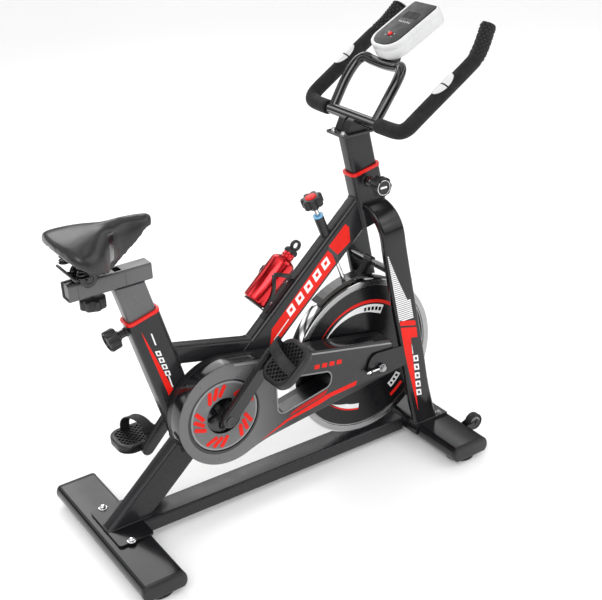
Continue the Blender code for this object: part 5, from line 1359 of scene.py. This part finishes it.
def build_monitor():
    a, b = MONITOR_LENGTH / 2, MONITOR_WIDTH / 2
    face = rounded_polygon([(-a, -b), (a, -b), (a, b), (-a, b)], [0.044, 0.014, 0.014, 0.044], 14)
    steps = ((MONITOR_DEPTH, -0.006), (MONITOR_DEPTH - 0.001, -0.003), (MONITOR_DEPTH - 0.004, -0.001),
             (MONITOR_DEPTH - 0.009, 0.0),
             (0.016, 0.0), (0.015, -0.0006), (0.0143, -0.0006), (0.0133, 0.0), (0.004, 0.0),
             (0.0018, -0.0006), (0.0004, -0.0022), (0.0, -0.0045), (0.0012, -0.0085), (0.003, -0.0092))
    add("monitor_shell", loft([monitor_ring(grown(face, inset), depth) for depth, inset in steps]),
        "white_plastic", "handlebar", ("monitor_housing",), angle=40)
    panel = rounded_polygon([(-a + 0.0088, -b + 0.0088), (a - 0.002, -b + 0.0088), (a - 0.002, b - 0.0088),
                             (-a + 0.0088, b - 0.0088)],
                            [0.036, 0.008, 0.008, 0.036], 14)
    levels = ((0.004, 0.0), (0.0008, 0.0), (-0.0002, -0.0008), (-0.0005, -0.0022))
    add("monitor_face", loft([monitor_ring(grown(panel, inset), depth) for depth, inset in levels]), "panel",
        "handlebar", ("monitor_lens",))
    display = [(x + 0.034, y) for x, y in rounded_rectangle(0.026, 0.052, 0.002, 4)]
    add("monitor_display", loft([monitor_ring(grown(display, inset), depth)
                                 for depth, inset in ((-0.0004, 0.0), (-0.001, -0.0004))]),
        "display", "handlebar")
    frame_outline = grown(display, 0.0014)
    add("monitor_display_frame", loft([monitor_ring(frame_outline, depth) for depth in (-0.0003, -0.0007)]),
        "black_plastic", "handlebar")
    marks = []
    for k in range(6):
        x, y = 0.0075 + 0.001 * (k % 2), -0.018 + k * 0.0072
        mark = [(x - 0.0026, y - 0.0024), (x + 0.0026, y - 0.0016), (x + 0.0026, y + 0.0024),
                (x - 0.0026, y + 0.0016)]
        marks.append(loft([monitor_ring(mark, depth) for depth in (-0.0003, -0.0008)]))
    button = Vector((0.394, 0, 1.1162))
    button -= MONITOR_OUT * (button - MONITOR_CENTRE).dot(MONITOR_OUT)
    local = (button - MONITOR_CENTRE).dot(MONITOR_ALONG)
    for x, y in ((0.003, -0.0125), (-0.008, -0.011), (0.006, 0.0125), (-0.006, 0.012)):
        mark = [(local + x + u, y + v) for u, v in rounded_rectangle(0.003, 0.0046, 0.0008, 2)]
        marks.append(loft([monitor_ring(mark, depth) for depth in (-0.0003, -0.0008)]))
    add("monitor_marks", marks, "grey_print", "handlebar")
    dome = [(0.0064, -0.007), (0.0064, 0.0014), (0.006, 0.0028), (0.0049, 0.0038), (0.0028, 0.0043),
            (0.0006, 0.0044)]
    add("monitor_red_button", turned(dome, button, MONITOR_OUT, 40), "red_trim", "monitor_button",
        ("monitor_button",))
    ring = [(0.0084, 0.0003), (0.0084, 0.001), (0.0076, 0.0013), (0.007, 0.001), (0.007, 0.0003)]
    add("monitor_button_ring", turned(ring, button, MONITOR_OUT, 40, closed=True), "black_plastic",
        "handlebar")


# ---------------------------------------------------------------- bottle
def band_on_bottle(path, base, radius):
    """A flat strip that follows a path at a fixed radius, always facing the bottle's axis."""
    section = rounded_rectangle(0.0034, 0.01, 0.0012, 3)
    points = []
    for point in path:
        centre = base + MAIN_DIR * (point - base).dot(MAIN_DIR)
        out = (point - centre).normalized()
        points.append((centre + out * radius, out))
    rings = []
    for i, (point, out) in enumerate(points):
        before, after = points[max(i - 1, 0)][0], points[min(i + 1, len(points) - 1)][0]
        rings.append(ring_at(section, point, out, (after - before).normalized().cross(out).normalized()))
    return loft(rings)


def build_bottle():
    base = main_point(BOTTLE_LOW, BOTTLE_ABOVE)
    n, r = BOTTLE_LENGTH, BOTTLE_RADIUS
    profile = [(r - 0.006, 0.0), (r - 0.003, 0.0006), (r - 0.0008, 0.0024), (r, 0.005), (r, n - 0.012),
               (r - 0.0008, n - 0.008),
               (r - 0.0034, n - 0.004), (r - 0.0085, n - 0.0004), (0.019, n + 0.002), (0.0166, n + 0.0034),
               (0.0152, n + 0.0055),
               (0.015, n + 0.008), (0.0162, n + 0.0092), (0.0162, n + 0.0112), (0.015, n + 0.0124),
               (0.015, n + 0.018)]
    add("bottle_flask", turned(profile, base, MAIN_DIR, 96), "red_anodised", "bottle", ("bottle",), angle=50)
    cap_base = base + MAIN_DIR * (n + 0.0183)
    lid = [(0.0165, 0), (0.0167, 0.0008), (0.0167, 0.0085), (0.0158, 0.01), (0.013, 0.013), (0.008, 0.0142)]
    parts = [turned(lid, cap_base, MAIN_DIR, 64)]
    for k in range(28):
        t = 2 * math.pi * k / 28
        side, up = Y, MAIN_DIR.cross(Y)
        out = side * math.cos(t) + up * math.sin(t)
        parts.append(cylinder(0.0008, cap_base + out * 0.0165 + MAIN_DIR * 0.001,
                              cap_base + out * 0.0165 + MAIN_DIR * 0.008, 6))
    eye = cap_base + MAIN_DIR * 0.024
    loop = []
    for i in range(48):
        t = 2 * math.pi * i / 48
        loop.append(eye + MAIN_DIR * 0.011 * math.cos(t) + MAIN_DIR.cross(Y) * 0.011 * math.sin(t))
    section = rounded_rectangle(0.01, 0.0066, 0.0024, 4)
    parts.append(loft(carried_rings(section, loop, Y, closed=True), closed=True))
    add("bottle_lid", parts, "black_plastic", "bottle_cap", ("bottle_cap",), angle=40)

    level = 0.042
    cage = [rod(rounded_rectangle(0.022, 0.003, 0.001, 3),
                [main_point(BOTTLE_LOW - 0.02, level), main_point(BOTTLE_LOW + 0.1, level)])]
    side, up = Y, MAIN_UP
    upper_arm = ((0.102, 8), (0.101, 40), (0.096, 75), (0.088, 105), (0.079, 130))
    lower_arm = ((0.079, 130), (0.062, 106), (0.046, 84), (0.026, 68), (-0.0015, 60))
    for hand in (-1, 1):
        for arm in (upper_arm, lower_arm):
            path = []
            for s, degrees in arm:
                t = math.radians(-90 + hand * degrees)
                path.append(main_point(BOTTLE_LOW + s,
                                       BOTTLE_ABOVE) + (side * math.cos(t) + up * math.sin(t)) * (r + 0.0024))
            cage.append(band_on_bottle(curve(path, 8), base, r + 0.0024))
    cage.append(turned([(0.0255, 0), (0.0262, 0.0008), (0.0262, 0.0034), (0.025, 0.004)],
                       main_point(BOTTLE_LOW - 0.0046, BOTTLE_ABOVE), MAIN_DIR, 64))
    for s in (BOTTLE_LOW + 0.101, BOTTLE_LOW - 0.0026):
        deep = 0.017 if s > BOTTLE_LOW else 0.03
        cage.append(rod(rounded_rectangle(0.014, deep, 0.001, 3),
                        [main_point(s - 0.0018, level + deep / 2 - 0.001),
                         main_point(s + 0.0018, level + deep / 2 - 0.001)]))
    add("bottle_cage_body", cage, "black_plastic", "bike", ("bottle_cage",), angle=40)
    screws = [turned([(0.004, 0), (0.004, 0.0014), (0.0028, 0.0024), (0.0006, 0.0026)],
                     main_point(BOTTLE_LOW + s, level + 0.0015), MAIN_UP, 24)
              for s in (0.022, 0.088)]
    add("bottle_cage_screws", screws, "steel")


# ---------------------------------------------------------------- CAD pieces that stay
def finish_cad():
    kept = {"flywheel_bearing": "steel", "flywheel_pulley": "steel", "bottom_bracket": "steel",
            "drive_belt": "rubber",
            "drive_pulley": "black_steel", "crank_axle": "steel", "brake_arm": "black_steel",
            "brake_pad": "felt", "seat_slider": "black_steel", "flywheel_guard": "dark_paint"}
    for name, finish in kept.items():
        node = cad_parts[name]
        for slot in node.material_slots:
            slot.material = LOOKS[finish][0]
        weld = node.modifiers.new("weld", "WELD")
        weld.merge_threshold = 0.00001
        edge = node.modifiers.new("edges", "BEVEL")
        edge.width, edge.segments = 0.0005, 2
        edge.limit_method, edge.angle_limit = "ANGLE", math.radians(40)


# ---------------------------------------------------------------- stage
def lifted(nodes, links, ramp):
    """The input that feeds a ramp with a direction's component, brought from -1..1 to 0..1."""
    lift = nodes.new("ShaderNodeMapRange")
    lift.inputs["From Min"].default_value, lift.inputs["From Max"].default_value = -1.0, 1.0
    links.new(lift.outputs[0], ramp.inputs[0])
    return lift.inputs["Value"]


def paint_ramp(ramp, stops):
    elements = ramp.color_ramp.elements
    elements.remove(elements[1])
    for i, (at, grey) in enumerate(stops):
        element = elements[0] if i == 0 else elements.new(at)
        element.position, element.color = at, (grey, grey, grey, 1)


def build_stage():
    floor = bpy.data.meshes.new("floor")
    grid = bmesh.new()
    bmesh.ops.create_grid(grid, x_segments=8, y_segments=8, size=9.0)
    grid.to_mesh(floor)
    grid.free()
    n = Nodes("floor")
    n.feed(n.shader.inputs["Base Color"],
           n.mix(n.spread(n.noise(0.8, 2.0), 0, 1), (0.9, 0.9, 0.9, 1), (0.92, 0.92, 0.92, 1)))
    n.shader.inputs["Roughness"].default_value = 0.55
    n.shader.inputs["Emission Color"].default_value = (1, 1, 1, 1)
    n.shader.inputs["Emission Strength"].default_value = 0.09
    floor.materials.append(n.made)
    ground = bpy.data.objects.new("floor", floor)
    ground.location.z = -0.0005
    SCENE.collection.objects.link(ground)

    world = bpy.data.worlds.new("studio")
    SCENE.world = world
    world.use_nodes = True
    tree = world.node_tree
    nodes, links = tree.nodes, tree.links
    nodes.clear()
    out, path = nodes.new("ShaderNodeOutputWorld"), nodes.new("ShaderNodeLightPath")
    coords, split = nodes.new("ShaderNodeTexCoord"), nodes.new("ShaderNodeSeparateXYZ")
    ramp = nodes.new("ShaderNodeValToRGB")
    links.new(coords.outputs["Generated"], split.inputs[0])
    links.new(split.outputs["Z"], lifted(nodes, links, ramp))
    paint_ramp(ramp, ((0.0, 0.2), (0.44, 0.16), (0.5, 0.03), (0.6, 0.03), (0.63, 0.8), (0.67, 0.9),
                      (0.69, 0.08),
                      (0.72, 0.08), (0.74, 0.95), (0.8, 1.0), (0.83, 0.1), (0.9, 0.1), (0.93, 0.9),
                      (1.0, 0.8)))
    around = nodes.new("ShaderNodeValToRGB")
    links.new(split.outputs["X"], lifted(nodes, links, around))
    paint_ramp(around, ((0.0, 1.0), (0.14, 1.0), (0.19, 0.12), (0.25, 0.12), (0.28, 0.9), (0.36, 0.9),
                        (0.4, 0.12),
                        (0.5, 0.12), (0.54, 0.8), (0.6, 0.8), (0.64, 0.12), (0.69, 0.12), (0.71, 1.0),
                        (0.76, 1.0), (0.79, 0.15), (0.86, 0.15), (0.9, 1.0), (1.0, 1.0)))
    both = nodes.new("ShaderNodeMix")
    both.data_type, both.blend_type = "RGBA", "MULTIPLY"
    both.inputs[0].default_value = 0.85
    links.new(ramp.outputs[0], both.inputs[6])
    links.new(around.outputs[0], both.inputs[7])
    glossy, plain = nodes.new("ShaderNodeBackground"), nodes.new("ShaderNodeBackground")
    mixed = nodes.new("ShaderNodeMixShader")
    links.new(both.outputs[2], glossy.inputs[0])
    glossy.inputs[1].default_value = 2.0
    plain.inputs[0].default_value = (1, 1, 1, 1)
    plain.inputs[1].default_value = 0.98
    links.new(path.outputs["Is Glossy Ray"], mixed.inputs[0])
    links.new(plain.outputs[0], mixed.inputs[1])
    links.new(glossy.outputs[0], mixed.inputs[2])
    links.new(mixed.outputs[0], out.inputs[0])

    for name, at, power, size in (("key", (-2.2, -2.6, 3.4), 70, 2.4), ("fill", (2.4, -2.4, 2.0), 26, 2.6),
                                  ("back", (0.6, 3.0, 3.0), 40, 2.4)):
        light = bpy.data.lights.new(name, "AREA")
        light.energy, light.size = power, size
        lamp = bpy.data.objects.new(name, light)
        lamp.location = Vector(at)
        lamp.rotation_euler = (Vector((0, 0, 0.5)) - lamp.location).to_track_quat("-Z", "Y").to_euler()
        SCENE.collection.objects.link(lamp)

    azimuth, elevation, roll = math.radians(-32.566), math.radians(26.058), math.radians(-2.825)
    back = Vector((math.sin(azimuth) * math.cos(elevation), -math.cos(azimuth) * math.cos(elevation),
                   math.sin(elevation)))
    right = Z.cross(back).normalized()
    up = back.cross(right)
    right, up = right * math.cos(roll) + up * math.sin(roll), up * math.cos(roll) - right * math.sin(roll)
    lens = bpy.data.cameras.new("camera")
    lens.lens, lens.sensor_width = 67.9, 36.0
    camera = bpy.data.objects.new("camera", lens)
    camera.matrix_world = Matrix.Translation(Vector((-1.2722, -2.154, 1.7469)) + SHIFT) @ Matrix((right, up,
        back)).transposed().to_4x4()
    SCENE.collection.objects.link(camera)
    SCENE.camera = camera
    SCENE.view_settings.view_transform = "Standard"


make_looks()
build_base()
build_frame()
build_flywheel()
build_crank()
build_cover()
build_brake()
build_seat()
build_handlebar()
build_bottle()
finish_cad()
build_stage()
